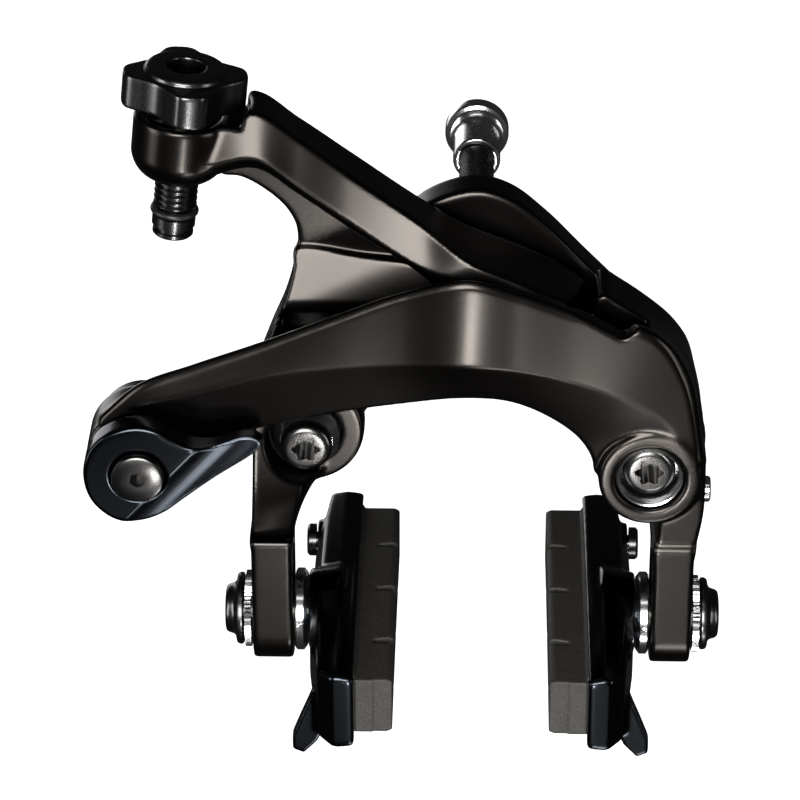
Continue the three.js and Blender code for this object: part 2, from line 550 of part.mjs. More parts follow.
function makeBarrel() {
  const profile = [[WIRE_BORE, BARREL_LOW], [BARREL_RADIUS - 0.5, BARREL_LOW],
      [BARREL_RADIUS - 0.2, BARREL_LOW + 0.6],
    [2.8, BARREL_LOW + 1], [2.8, BARREL_LOW + 1.4], [BARREL_RADIUS, BARREL_LOW + 1.8],
    [BARREL_RADIUS, O_RING - 0.8], [2.65, O_RING - 0.7], [2.65, O_RING + 0.7]];
  for (let z = O_RING + 0.8; z < -6.4; z += THREAD_PITCH) {
    profile.push([BARREL_RADIUS, z + 0.15], [BARREL_RADIUS, z + 0.5], [BARREL_RADIUS - 0.4, z + 0.85]);
  }
  profile.push([BARREL_RADIUS, -5.6], [BARREL_RADIUS, KNOB_HIGH - 0.6], [CABLE_BORE, KNOB_HIGH - 0.6],
    [CABLE_BORE, BORE_STEP], [WIRE_BORE, BORE_STEP], [WIRE_BORE, BARREL_LOW]);
  return piece('adjuster_barrel', leaning(turned(profile, 'z', SMALL_ROUND)), blackSteel());
}

function roundRing(middle, thick, at, axis, sides = 6) {
  const profile = Array.from({ length: sides }, (_, i) => {
    const turn = (2 * Math.PI * i) / sides;
    return [middle + thick * Math.cos(turn), at + thick * Math.sin(turn)];
  });
  return turned([...profile, profile[0]], axis, ROUND);
}

function makeORing() {
  return piece('adjuster_o_ring', leaning(roundRing(3.35, 0.6, O_RING, 'z')), softRubber());
}

// A three-wave spring washer between the knob's skirt and the floor of the boss.
function makeWaveWasher() {
  const geometry = new THREE.LatheGeometry(
    [[BARREL_RADIUS + GAP, WASHER_SEAT + 0.6], [5.4, WASHER_SEAT + 0.6], [5.4, WASHER_SEAT + 0.9],
      [BARREL_RADIUS + GAP, WASHER_SEAT + 0.9],
          [BARREL_RADIUS + GAP, WASHER_SEAT + 0.6]].map(([r, t]) => new THREE.Vector2(r, t)), ROUND);
  geometry.rotateX(Math.PI / 2);
  const place = geometry.attributes.position;
  for (let i = 0; i < place.count; i += 1) {
    place.setZ(i, place.getZ(i) + 0.35 * Math.sin(3 * Math.atan2(place.getY(i), place.getX(i))));
  }
  return piece('adjuster_wave_washer', leaning(solid(geometry)), greySteel());
}

// ---- quick release and cable anchor -------------------------------------------------------------
const SHAFT_RADIUS = 4;
const SCREW_FRONT = -33.2;
const ANCHOR_FACE = -13.6; // where the cable is clamped
const atAnchor = (body) => body.translate(ANCHOR.x, 0, ANCHOR.z);

function makeLever() {
  const blade = frontPlate(smoothOutline([
    [-61.3, -22], [-60.2, -17.6], [-57.2, -14.6], [-53, -13.3], [-49.5, -13.9], [-46.6, -15.7],
        [-44.2, -16.8],
    [-41.3, -17], [-38.4, -16.2], [-36.2, -15.5], [-34, -15.7], [-33, -16.9], [-34, -18.3], [-41, -23.4],
    [-45.6, -27], [-49, -29.6], [-52.4, -30.7], [-56.8, -29.9], [-60.2, -26.6],
  ], 60), LEVER_BACK, LEVER_FRONT, 0.5);
  const screwSeat = rod(4.5, -40, LEVER_FRONT + 1.4, 'y');
  const hollow = atAnchor(join(screwSeat, rod(1.8, -40, 0, 'y', SMALL_ROUND)));
  // a long thumb valley across the face, from beside the hub to the tip
  const valley = solid(new THREE.CylinderGeometry(6, 6, 40, ROUND).rotateZ(THREE.MathUtils.degToRad(-55))
    .translate(-29, LEVER_FRONT - 4.9, -13.5));
  return piece('quick_release_lever', cut(blade, hollow, valley), glossBlack());
}

function makeLeverScrew() {
  const body = turned([[0, SCREW_FRONT], [3.7, SCREW_FRONT], [4.15, SCREW_FRONT + 0.5],
      [4.15, LEVER_FRONT + 1.1],
    [1.5, LEVER_FRONT + 1.1], [1.5, -21], [0, -21]], 'y');
  const socket = frontPlate(hexagon(1.15, 0.3), SCREW_FRONT + 1.4, SCREW_FRONT - 1);
  return piece('quick_release_screw', atAnchor(cut(body, socket)), greySteel());
}

function makeLeverShaft() {
  const body = rod(SHAFT_RADIUS, LEVER_BACK + GAP, ARCH_BACK + GAP, 'y');
  return piece('quick_release_shaft', atAnchor(cut(body, rod(1.8, -40, -20.7, 'y', SMALL_ROUND))),
      greySteel());
}

function makeAnchorBlock() {
  const disc = turned([[0, -16.7], [7, -16.7], [7.5, -16.2], [7.5, ANCHOR_FACE - 0.4], [7.1, ANCHOR_FACE],
    [0, ANCHOR_FACE]], 'y');
  const boltHole = rod(2 + GAP, -15.6, 0, 'y', SMALL_ROUND);
  const groove = box(2.9, 4.3, -14.1, -13, -10, 10);
  return piece('cable_anchor_block', atAnchor(cut(disc, boltHole, groove)), blackSteel());
}

function makeClampPlate() {
  const plate = frontPlate(smoothOutline([[-5.6, 0], [-4, -4.2], [0, -5.6], [4, -4.4], [5.8, 0],
      [4, 4.4], [0, 5.6],
    [-4, 4.2]], 40), ANCHOR_FACE + 1.7, ANCHOR_FACE + GAP, 0.3);
  return piece('cable_clamp_plate', atAnchor(cut(plate, rod(2 + GAP, -20, 0, 'y', SMALL_ROUND))),
      greySteel());
}

function makeAnchorBolt() {
  const front = ANCHOR_FACE + 2;
  const head = frontPlate(hexagon(4.6, Math.PI / 6), front + 3.4, front, 0.4);
  return piece('cable_anchor_bolt', atAnchor(join(head, rod(2, -15.3, front + 0.5, 'y', SMALL_ROUND))),
      greySteel());
}

// ---- brake shoes: made for the +X side and mirrored ----------------------------------------------
const HOLDER_INNER = 18.3;
const HOLDER_OUTER = 26.4;
const PAD_HALF_HEIGHT = 4.9;
const FLANGE_HALF_HEIGHT = 5.5;
const GROOVES = [-9, -23, -38];

// The shoe's middle height at a place along it: it falls away from the stud along the rim's circle.
const shoeHeight = (y) => STUD.z - 0.2 - ((y - PAD_MIDDLE) ** 2) / (2 * RIM_RADIUS);

function shoeBeam(corners, ends, steps) {
  const rails = corners.map(([x, z]) => Array.from({ length: 9 }, (_, i) => {
    const y = ends[1] + ((ends[0] - ends[1]) * i) / 8;
    return [x, y, shoeHeight(y) + z];
  }));
  return beam(rails, steps);
}

function brakePad(side) {
  const block = shoeBeam([[PAD_FACE, -4.5], [PAD_FACE + 0.8, -PAD_HALF_HEIGHT], [18.4, -PAD_HALF_HEIGHT],
    [18.4, PAD_HALF_HEIGHT], [PAD_FACE + 0.8, PAD_HALF_HEIGHT], [PAD_FACE, 4.5]], [PAD_BACK, PAD_FRONT], 14);
  const flange = shoeBeam([[18.2, -FLANGE_HALF_HEIGHT], [19.6, -FLANGE_HALF_HEIGHT],
      [19.6, FLANGE_HALF_HEIGHT],
    [18.2, FLANGE_HALF_HEIGHT]], [PAD_BACK, PAD_FRONT + 0.6], 14);
  const grooves = GROOVES.map((y) => {
    const cutter = solid(extrude(outline([[0, 0], [4, 0], [4, 0.9], [0, 1.7]]), 20)
      .translate(PAD_FACE - 0.8, y - 0.5, shoeHeight(y) - 10));
    return cutter;
  });
  const frontChamfer = solid(extrude(outline([[-3, -3], [3, -3], [3, 0.2], [0.2, 0.2]]), 20)
    .translate(PAD_FACE, PAD_FRONT, shoeHeight(PAD_FRONT) - 10));
  const screwHollow = rod(1.6, 17.4, 22, 'x', SMALL_ROUND).translate(0, -2.2, shoeHeight(-2.2) + 2);
  return piece(`${side}_brake_pad`, sided(cut(join(block, flange), ...grooves, frontChamfer,
      screwHollow), side),
    rubber());
}

function shoeHolder(side) {
  const body = shoeBeam([[HOLDER_INNER, -6.2], [21, -6.6], [24.4, -6], [HOLDER_OUTER - 0.5, -3.6],
      [HOLDER_OUTER - 0.5, 3.6],
    [24.4, 6.2], [21, 6.8], [HOLDER_INNER, 6.4]], [PAD_BACK + 3, PAD_FRONT - 2.2], 16);
  const channel = shoeBeam([[HOLDER_INNER - 1, -PAD_HALF_HEIGHT - GAP], [18.5, -FLANGE_HALF_HEIGHT - GAP],
    [19.6 + GAP, -FLANGE_HALF_HEIGHT - GAP], [19.6 + GAP, FLANGE_HALF_HEIGHT + GAP],
    [18.5, FLANGE_HALF_HEIGHT + GAP], [HOLDER_INNER - 1, PAD_HALF_HEIGHT + GAP]],
        [PAD_BACK + 4, PAD_FRONT - GAP], 14);
  // the outside pulls in towards both ends, so that the boss around the stud stands out
  const taper = (end) => solid(extrude(outline([[HOLDER_OUTER + 0.02, end > 0 ? -12 : -32], [HOLDER_OUTER + 6,
    end > 0 ? -12 : -32], [HOLDER_OUTER + 6, end > 0 ? 9 : -54], [23.8, end > 0 ? 9 : -54],
  [24.6, end > 0 ? 0 : -44]]), 30).translate(0, 0, STUD.z - 15));
  const nose = solid(extrude(outline([[17, -60], [40, -60], [40, -44], [25.4, -44], [24.2, -48],
      [21.8, -50.4],
    [17, -50.8]]), 30).translate(0, 0, STUD.z - 15));
  const fin = frontPlate(outline([[22.4, -57.8], [23, -52], [25, -53], [27, -58], [28.2, -61.2],
    [28.2, -63.6], [26.4, -64.4], [24.2, -62]]), -43.6, -46, 0.3);
  const studBoss = turned([[0, 21], [7.4, 21], [6.6, HOLDER_OUTER - 0.4], [6.4, HOLDER_OUTER],
      [0, HOLDER_OUTER]], 'x')
    .translate(0, STUD.y, STUD.z);
  const screwBoss = rod(3.4, 22, 25.8, 'x', SMALL_ROUND).translate(0, -2.2, shoeHeight(-2.2) + 2);
  const screwHole = rod(1.4 + GAP, 16, 30, 'x', SMALL_ROUND).translate(0, -2.2, shoeHeight(-2.2) + 2);
  const studHole = rod(3 + GAP, 21.6, 30, 'x', SMALL_ROUND).translate(0, STUD.y, STUD.z);
  const shaped = join(cut(body, taper(1), taper(-1), nose), fin, screwBoss, studBoss);
  return piece(`${side}_shoe_holder`, sided(cut(shaped, channel, screwHole, studHole), side), glossBlack());
}

function padScrew(side) {
  const body = turned([[0, 20.6], [1.4, 20.6], [1.4, 26.1], [2.7, 26.1], [2.7, 27.2], [2.3, 27.6], [0, 27.6]],
    'x', SMALL_ROUND);
  const socket = sidePlate(hexagon(1.1), 26.6, 29);
  const placed = cut(body, socket).translate(0, -2.2, shoeHeight(-2.2) + 2);
  return piece(`${side}_pad_screw`, sided(placed, side), blackSteel());
}

const atStud = (body) => body.translate(0, STUD.y, STUD.z);

function shoeStud(side) {
  const body = turned([[0, 21.9], [2.4, 21.9], [3, 22.5], [3, 37.6], [2.6, 38], [0, 38]], 'x', SMALL_ROUND);
  return piece(`${side}_shoe_stud`, sided(atStud(body), side), greySteel());
}

function innerSpacer(side) {
  const body = turned([[3 + GAP, HOLDER_OUTER + 0.2], [5.9, HOLDER_OUTER + 0.2], [6.7, 27.2], [6.7, 28.3],
    [6.3, LEG_INNER - GAP], [3 + GAP, LEG_INNER - GAP], [3 + GAP, HOLDER_OUTER + 0.2]], 'x');
  return piece(`${side}_inner_spacer`, sided(atStud(body), side), silver());
}

function outerWasher(side) {
  const points = [];
  for (let i = 0; i < 36; i += 1) {
    const turn = (Math.PI * i) / 18;
    const reach = i % 2 ? 6 : 6.25;
    points.push([reach * Math.cos(turn), reach * Math.sin(turn)]);
  }
  const disc = sidePlate(outline(points), LEG_OUTER + GAP, LEG_OUTER + GAP + 1, 0.15);
  const body = cut(disc, rod(3 + GAP, 30, 40, 'x', SMALL_ROUND));
  return piece(`${side}_outer_washer`, sided(atStud(body), side), silver());
}

function shoeNut(side) {
  const body = turned([[0, 37], [5.6, 37], [5.9, 37.3], [5.9, 37.8], [5.5, 38.2], [4.5, 38.4],
      [4.1, 38.8], [3.9, 39.6],
    [3.4, 40], [0, 40]], 'x');
  const bore = rod(3 + GAP, 30, 38.3, 'x', SMALL_ROUND);
  const socket = sidePlate(hexagon(2.3), 38.2, 42);
  return piece(`${side}_shoe_nut`, sided(atStud(cut(body, bore, socket)), side), blackSteel());
}

// ---- assembly -----------------------------------------------------------------------------------
const caliper = new THREE.Group();
caliper.add(makeBridge(), makeMountingBolt(), makeForkWasher(), makeSleeveNut());
caliper.add(pivotBolt('left_pivot_bolt', LEFT_PIVOT, LEFT_HEAD_FRONT, LEFT_BUSH_FRONT - GAP));
caliper.add(pivotBolt('right_pivot_bolt', RIGHT_PIVOT, RIGHT_HEAD_FRONT, -24.4));
caliper.add(makeLeftBush(), makeRightBush());
caliper.add(thrustWasher('left_thrust_washer', LEFT_PIVOT), thrustWasher('right_thrust_washer', RIGHT_PIVOT));
caliper.add(makeAdjusterArm(), makeCableArm(), makeLinkRoller(), makeRollerPin());
caliper.add(makeReturnSpring(), springSeat('left'), springSeat('right'), makeCentringScrew());
caliper.add(makeKnob(), makeBarrel(), makeORing(), makeWaveWasher());
caliper.add(makeLever(), makeLeverScrew(), makeLeverShaft());
caliper.add(makeAnchorBlock(), makeClampPlate(), makeAnchorBolt());
for (const side of ['left', 'right']) {
  caliper.add(shoeHolder(side), brakePad(side), padScrew(side), shoeStud(side));
  caliper.add(innerSpacer(side), outerWasher(side), shoeNut(side));
}

export default caliper;
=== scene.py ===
"""Looks of a dual-pivot rim brake caliper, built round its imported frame.

Lengths in this script are millimetres in the frame's axes; a mesh is scaled to metres when it is made.
The cast and forged pieces are joined and cut as distance fields, which rounds their edges and fillets
their joints. The turned hardware is made as fine lathes.
"""
import json
import math

import bmesh
import bpy
import numpy as np
import openvdb
from mathutils import Matrix, Vector
from mathutils.geometry import tessellate_polygon


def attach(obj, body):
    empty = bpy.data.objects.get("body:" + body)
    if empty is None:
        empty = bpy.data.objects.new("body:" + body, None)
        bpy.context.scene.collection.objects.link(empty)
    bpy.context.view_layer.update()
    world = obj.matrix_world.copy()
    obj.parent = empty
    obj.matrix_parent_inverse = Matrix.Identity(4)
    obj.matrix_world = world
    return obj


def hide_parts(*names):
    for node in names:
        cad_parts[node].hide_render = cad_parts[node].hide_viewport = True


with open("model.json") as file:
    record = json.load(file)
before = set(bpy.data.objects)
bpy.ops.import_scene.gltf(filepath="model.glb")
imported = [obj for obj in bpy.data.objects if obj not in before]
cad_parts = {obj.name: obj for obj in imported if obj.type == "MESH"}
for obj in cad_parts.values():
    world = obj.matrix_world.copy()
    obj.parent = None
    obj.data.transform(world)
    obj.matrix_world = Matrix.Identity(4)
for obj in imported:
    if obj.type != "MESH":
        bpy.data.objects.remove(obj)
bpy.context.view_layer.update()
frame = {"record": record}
record = frame["record"]
BODY_OF = {node: body for body, nodes in record["behaviour"]["bodies"].items() for node in nodes}
SLOT_OF = {entry["node"]: entry["material_slot"] for entry in record["subparts"]}
MM = 0.001

# ---- driving dimensions -------------------------------------------------------------------------
GAP = 0.3
BRIDGE_BACK = -2.3
BRIDGE_FRONT = -9
ARM_BACK = -10.6
ARCH_BACK = -17.3
LIP_BACK = -26.2
SHOULDER_FRONT = -20.5
LEFT_PIVOT = (-26.8, -23.4)
RIGHT_PIVOT = (27.8, -23.2)
PIVOT_SHANK = 3
PIVOT_HEAD = 4.15
LEFT_BOSS = 9
RIGHT_BOSS = 8.1
LEFT_BOSS_FRONT = -14.6
RIGHT_BOSS_FRONT = -29.3
LEFT_HEAD_FRONT = -20.4
LEFT_BUSH_FRONT = -17.8
RIGHT_HEAD_FRONT = -27
BOLT_RADIUS = 3
BOLT_END = 42
NUT_MOUTH = 38.5
NUT_FLANGE_FRONT = 49
NUT_BACK = 53.5
ADJUSTER = (-45.8, -15, 28)
ADJUSTER_LEAN = 5.9
BOSS_RADIUS = 7.5
BOSS_TOP = 5
WASHER_SEAT = 4.1
KNOB_LOW = 6.4
KNOB_HIGH = 11.6
BARREL_RADIUS = 3.4
CABLE_BORE = 2.6
WIRE_BORE = 1.2
BORE_STEP = -4
KNOB_REACH = 9.6
O_RING = -11.5
BARREL_LOW = -15.7
ANCHOR = (-52.6, -22)
ANCHOR_FACE = -13.6
LEVER_BACK = -27.4
LEVER_FRONT = -32
LEVER_HUB = 8.7
SCREW_FRONT = -33.2
STUD_Y, STUD_Z = -22, -52.3
SLOT_LOW = -54
SLOT_HIGH = -44
SLOT_HALF = 3.3
LEG_HALF_DEPTH = 6.5
LEG_INNER = 28.9
LEG_OUTER = 35.4
PAD_FACE = 12.3
PAD_BACK = 4.5
PAD_FRONT = -48.5
PAD_MIDDLE = (PAD_BACK + PAD_FRONT) / 2
RIM_RADIUS = 311
HOLDER_INNER = 18.3
HOLDER_OUTER = 26.4
PAD_HALF_HEIGHT = 4.9
FLANGE_HALF_HEIGHT = 5.5
GROOVES = (-9, -23, -38)
LINK_SLOPE = math.tan(math.radians(26.1))
SEAT_Y, SEAT_Z = -13.6, -38.5
SEAT_END = 34.5
CENTRING_Y, CENTRING_Z = -20, -30
ROLLER_RADIUS = 2.9
ROLLER_X = 9.5


def link_height(x, lift=0):
    return 3.4 + lift - x * LINK_SLOPE


ROLLER_Z = link_height(ROLLER_X) - (ROLLER_RADIUS + GAP) / math.cos(math.atan(LINK_SLOPE))


# ---- curves -------------------------------------------------------------------------------------
def smooth(points, count, closed=False):
    """Points along a centripetal Catmull-Rom curve through the given ones."""
    pts = np.array(points, float)
    n = len(pts)
    if closed:
        padded = np.vstack([pts[-1], pts, pts[:2]])
        spans = n
    else:
        padded = np.vstack([2 * pts[0] - pts[1], pts, 2 * pts[-1] - pts[-2]])
        spans = n - 1
    out = []
    total = count if closed else count + 1
    for i in range(total):
        along = i * spans / count
        k = min(int(along), spans - 1)
        u = along - k
        p = padded[k:k + 4]
        d = [max(np.linalg.norm(p[j + 1] - p[j]) ** 0.5, 1e-6) for j in range(3)]
        t1 = ((p[1] - p[0]) / d[0] - (p[2] - p[0]) / (d[0] + d[1]) + (p[2] - p[1]) / d[1]) * d[1]
        t2 = ((p[2] - p[1]) / d[1] - (p[3] - p[1]) / (d[1] + d[2]) + (p[3] - p[2]) / d[2]) * d[1]
        a = 2 * p[1] - 2 * p[2] + t1 + t2
        b = -3 * p[1] + 3 * p[2] - 2 * t1 - t2
        out.append(a * u ** 3 + b * u ** 2 + t1 * u + p[1])
    return np.array(out)


def circle(centre, radius, sides=96):
    turns = np.arange(sides) * 2 * math.pi / sides
    return np.stack([centre[0] + radius * np.cos(turns), centre[1] + radius * np.sin(turns)], 1)


def hexagon(radius, turn=0.0):
    turns = [turn + k * math.pi / 3 for k in range(6)]
    return [(radius * math.cos(t), radius * math.sin(t)) for t in turns]


def six_lobe(radius):
    turns = [2 * math.pi * i / 72 for i in range(72)]
    reach = [radius * (1 + 0.17 * math.cos(6 * t)) for t in turns]
    return [(r * math.cos(t), r * math.sin(t)) for r, t in zip(reach, turns)]


# ---- closed meshes: (vertices, triangles) -------------------------------------------------------
def outward(verts, tris):
    a, b, c = (verts[tris[:, i]] for i in range(3))
    if np.einsum("ij,ij->i", a, np.cross(b, c)).sum() < 0:
        tris = tris[:, ::-1]
    return verts, tris


def loft(rings):
    """A closed solid through rings of the same number of points, with flat ends."""
    rings = np.array(rings, float)
    count, around, _ = rings.shape
    index = np.arange(count * around).reshape(count, around)
    a, b = index[:-1], index[1:]
    a2, b2 = np.roll(a, -1, 1), np.roll(b, -1, 1)
    tris = [np.stack([a, a2, b2], -1).reshape(-1, 3), np.stack([a, b2, b], -1).reshape(-1, 3)]
    for ring, way in ((rings[0], -1), (rings[-1], 1)):
        cap = np.array(tessellate_polygon([[Vector(p) for p in ring]]))[:, ::way]
        first = 0 if way < 0 else (count - 1) * around
        area = np.cross(ring - ring.mean(0), np.roll(ring, -1, 0) - ring.mean(0)).sum(0)
        cap_area = sum(np.cross(ring[t[1]] - ring[t[0]], ring[t[2]] - ring[t[0]]) for t in cap)
        if np.dot(area, cap_area) * way < 0:
            cap = cap[:, ::-1]
        tris.append(cap + first)
    return outward(rings.reshape(-1, 3), np.vstack(tris))


def beam(rails, steps=160):
    """A beam whose long edges are smooth curves; each rail lists its points from one end to the other."""
    curves = [smooth(rail, steps) for rail in rails]
    return loft(np.stack(curves, 1))


def front_plate(outline, back, front):
    """A front-view outline (x, z) that fills the depth from back to front."""
    outline = np.array(outline, float)
    return loft([[(x, y, z) for x, z in outline] for y in (back, front)])


def side_plate(outline, x0, x1):
    """A side-view outline (y, z) that fills the width from x0 to x1."""
    return loft([[(x, y, z) for y, z in outline] for x in (x0, x1)])


def plan_plate(outline, low, high):
    """A plan-view outline (x, y) that fills the height from low to high."""
    return loft([[(x, y, z) for x, y in outline] for z in (low, high)])


def turned(profile, axis, at=(0, 0, 0), sides=96):
    """A turned solid: profile pairs (radius, distance along the axis), on the axis at both ends or closed."""
    turns = np.arange(sides) * 2 * math.pi / sides
    profile = np.array(profile, float)
    ring = profile[0][0] > 0
    if ring:
        profile = profile[:-1]
    radii = np.maximum(profile[:, 0], 0)
    grid = np.zeros((len(profile), sides, 3))
    along = "xyz".index(axis)
    u, v = [i for i in range(3) if i != along]
    grid[:, :, u] = radii[:, None] * np.cos(turns)
    grid[:, :, v] = radii[:, None] * np.sin(turns)
    grid[:, :, along] = profile[:, 1][:, None]
    index = np.arange(len(profile) * sides).reshape(len(profile), sides)
    a = index if ring else index[:-1]
    b = np.roll(index, -1, 0) if ring else index[1:]
    a2, b2 = np.roll(a, -1, 1), np.roll(b, -1, 1)
    tris = np.vstack([np.stack([a, a2, b2], -1).reshape(-1, 3), np.stack([a, b2, b], -1).reshape(-1, 3)])
    return outward(grid.reshape(-1, 3) + np.array(at, float), tris)


def rod(radius, start, end, axis, at=(0, 0, 0)):
    return turned([(0, start), (radius, start), (radius, end), (0, end)], axis, at)


def ring(outer, inner, start, end, axis, at=(0, 0, 0)):
    edge = 0.12
    return turned([(inner, start), (outer - edge, start), (outer, start + edge), (outer, end - edge),
                   (outer - edge, end), (inner, end), (inner, start)], axis, at)


def box(x0, x1, y0, y1, z0, z1):
    return front_plate([(x0, z0), (x1, z0), (x1, z1), (x0, z1)], y1, y0)


def wire(points, radius, steps=240, sides=20):
    path = smooth(points, steps)
    rings = []
    normal = Vector((0, 0, 1))
    for i, point in enumerate(path):
        way = Vector(path[min(i + 1, steps)] - path[max(i - 1, 0)]).normalized()
        normal = (normal - way * normal.dot(way)).normalized()
        other = way.cross(normal)
        rings.append([Vector(point) + radius * (math.cos(t) * normal + math.sin(t) * other)
                      for t in (2 * math.pi * k / sides for k in range(sides))])
    return loft(rings)


def moved(mesh, matrix):
    verts, tris = mesh
    m = np.array(matrix)
    return outward(verts @ m[:3, :3].T + m[:3, 3], tris)


def mirrored(mesh):
    return moved(mesh, Matrix.Diagonal((-1, 1, 1, 1)))


def sided(mesh, side):
    return mirrored(mesh) if side == "left" else mesh


LEANING = Matrix.Translation(ADJUSTER) @ Matrix.Rotation(math.radians(ADJUSTER_LEAN), 4, "Y")


def leaning(mesh):
    return moved(mesh, LEANING)


def at_anchor(mesh):
    return moved(mesh, Matrix.Translation((ANCHOR[0], 0, ANCHOR[1])))


# ---- distance fields ----------------------------------------------------------------------------
class Clay:
    """A block of space in which meshes are added and cut away, with fillets, then meshed again."""

    BAND = 6

    def __init__(self, low, high, voxel):
        self.voxel = voxel
        self.low = np.floor(np.array(low) / voxel).astype(int) - 6
        size = np.ceil(np.array(high) / voxel).astype(int) + 7 - self.low
        self.far = self.BAND * voxel
        self.field = np.full(size, self.far, np.float32)

    def distance(self, mesh):
        verts, tris = mesh
        grid = openvdb.FloatGrid.createLevelSetFromPolygons(
            verts.astype(np.float32), triangles=tris.astype(np.uint32),
            transform=openvdb.createLinearTransform(self.voxel), halfWidth=float(self.BAND))
        out = np.empty(self.field.shape, np.float32)
        grid.copyToArray(out, ijk=tuple(int(v) for v in self.low))
        return out

    def _merge(self, other, fillet):
        near = np.minimum(self.field, other)
        if fillet:
            reach = np.maximum(fillet - np.abs(self.field - other), 0) / fillet
            near = near - reach * reach * fillet / 4
        return near

    def add(self, *meshes, fillet=0.0):
        for mesh in meshes:
            self.field = self._merge(self.distance(mesh), fillet)
        return self

    def cut(self, *meshes, fillet=0.0):
        for mesh in meshes:
            self.field = -self.field
            self.field = -self._merge(self.distance(mesh), fillet)
        return self

    def soften(self, times):
        for _ in range(times):
            for axis in range(3):
                before = np.roll(self.field, 1, axis)
                after = np.roll(self.field, -1, axis)
                self.field = 0.5 * self.field + 0.25 * (before + after)
        return self

    def mesh(self):
        grid = openvdb.FloatGrid(self.far)
        grid.copyFromArray(self.field, ijk=tuple(int(v) for v in self.low))
        grid.transform = openvdb.createLinearTransform(self.voxel)
        grid.gridClass = openvdb.GridClass.LEVEL_SET
        points, quads = grid.convertToQuads(isovalue=0)
        a, b, c = (points[quads[:, i]].astype(float) for i in range(3))
        if np.einsum("ij,ij->i", a, np.cross(b, c)).sum() < 0:
            quads = quads[:, ::-1]
        return points, quads


# ---- materials ----------------------------------------------------------------------------------
def material(name, base, roughness, metallic, grain=0.0, grain_size=400.0, wear=0.05, speckle=None):
    """A procedural surface: colour and roughness that drift a little, and a fine grain in its normal."""
    made = bpy.data.materials.new(name)
    made.use_nodes = True
    nodes, links = made.node_tree.nodes, made.node_tree.links
    shader = nodes["Principled BSDF"]
    spot = nodes.new("ShaderNodeTexCoord").outputs["Object"]

    def noise(scale, detail):
        texture = nodes.new("ShaderNodeTexNoise")
        texture.inputs["Scale"].default_value = scale
        texture.inputs["Detail"].default_value = detail
        links.new(spot, texture.inputs["Vector"])
        return texture.outputs["Fac"]

    def ramp(source, low, high, start=0.3, end=0.7):
        node = nodes.new("ShaderNodeMapRange")
        node.inputs["From Min"].default_value = start
        node.inputs["From Max"].default_value = end
        node.inputs["To Min"].default_value = low
        node.inputs["To Max"].default_value = high
        links.new(source, node.inputs["Value"])
        return node.outputs["Result"]

    broad = noise(60, 3)
    colour = nodes.new("ShaderNodeMix")
    colour.data_type = "RGBA"
    colour.inputs["A"].default_value = (*[c * 0.86 for c in base], 1)
    colour.inputs["B"].default_value = (*[c * 1.14 for c in base], 1)
    links.new(broad, colour.inputs["Factor"])
    out = colour.outputs["Result"]
    if speckle:
        dots = ramp(noise(5200, 1), 0, 1, 0.56, 0.70)
        second = nodes.new("ShaderNodeMix")
        second.data_type = "RGBA"
        second.inputs["B"].default_value = (*speckle, 1)
        links.new(dots, second.inputs["Factor"])
        links.new(out, second.inputs["A"])
        out = second.outputs["Result"]
    links.new(out, shader.inputs["Base Color"])
    fine = noise(grain_size, 4)
    links.new(ramp(fine, roughness - wear, roughness + wear), shader.inputs["Roughness"])
    shader.inputs["Metallic"].default_value = metallic
    if grain:
        bump = nodes.new("ShaderNodeBump")
        bump.inputs["Strength"].default_value = grain
        bump.inputs["Distance"].default_value = 0.00001
        links.new(noise(grain_size * 6, 3), bump.inputs["Height"])
        links.new(bump.outputs["Normal"], shader.inputs["Normal"])
    return made


MATERIALS = {
    "anodised": material("anodised", (0.039, 0.0355, 0.0325), 0.25, 1.0, grain=0.04, grain_size=5000, wear=0.02),
    "gloss_black": material("gloss_black", (0.032, 0.036, 0.042), 0.17, 1.0, grain=0.01, grain_size=5000, wear=0.02),
    "black_steel": material("black_steel", (0.11, 0.109, 0.108), 0.26, 1.0, grain=0.03, grain_size=5000, wear=0.02),
    "grey_steel": material("grey_steel", (0.10, 0.097, 0.094), 0.24, 1.0, grain=0.02, grain_size=6000, wear=0.01),
    "silver": material("silver", (0.78, 0.79, 0.80), 0.2, 1.0, grain=0.008, grain_size=6000, wear=0.01),
    "pad_rubber": material("pad_rubber", (0.022, 0.020, 0.017), 0.60, 0.0, grain=0.8, grain_size=500,
                           speckle=(0.070, 0.063, 0.054)),
    "seal_rubber": material("seal_rubber", (0.010, 0.010, 0.010), 0.4, 0.0, grain=0.2),
    "nylon": material("nylon", (0.02, 0.02, 0.02), 0.5, 0.0, grain=0.3),
}


# ---- pieces -------------------------------------------------------------------------------------
def place(node, points, faces, sharp=None):
    """Makes the piece that stands for a CAD node; an edge is crisp above the angle sharp, in degrees."""
    mesh = bpy.data.meshes.new(f"{node}_look")
    mesh.from_pydata((np.asarray(points, float) * MM).tolist(), [], np.asarray(faces).tolist())
    mesh.update()
    mesh.shade_smooth()
    piece = bpy.data.objects.new(f"{node}_look", mesh)
    bpy.context.scene.collection.objects.link(piece)
    if sharp is not None:
        build = bmesh.new()
        build.from_mesh(mesh)
        bmesh.ops.remove_doubles(build, verts=build.verts, dist=1e-7)
        bmesh.ops.dissolve_degenerate(build, edges=build.edges, dist=1e-8)
        build.to_mesh(mesh)
        build.free()
        mark_sharp(mesh, sharp)
    mesh.materials.append(MATERIALS[SLOT_OF[node]])
    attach(piece, BODY_OF[node])
    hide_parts(node)
    return piece


def even_normals(piece):
    step = piece.modifiers.new("normals", "WEIGHTED_NORMAL")
    step.keep_sharp = True
    step.weight = 100


def mark_sharp(mesh, angle):
    build = bmesh.new()
    build.from_mesh(mesh)
    limit = math.radians(angle)
    for edge in build.edges:
        edge.smooth = edge.calc_face_angle(0) < limit
    build.to_mesh(mesh)
    build.free()


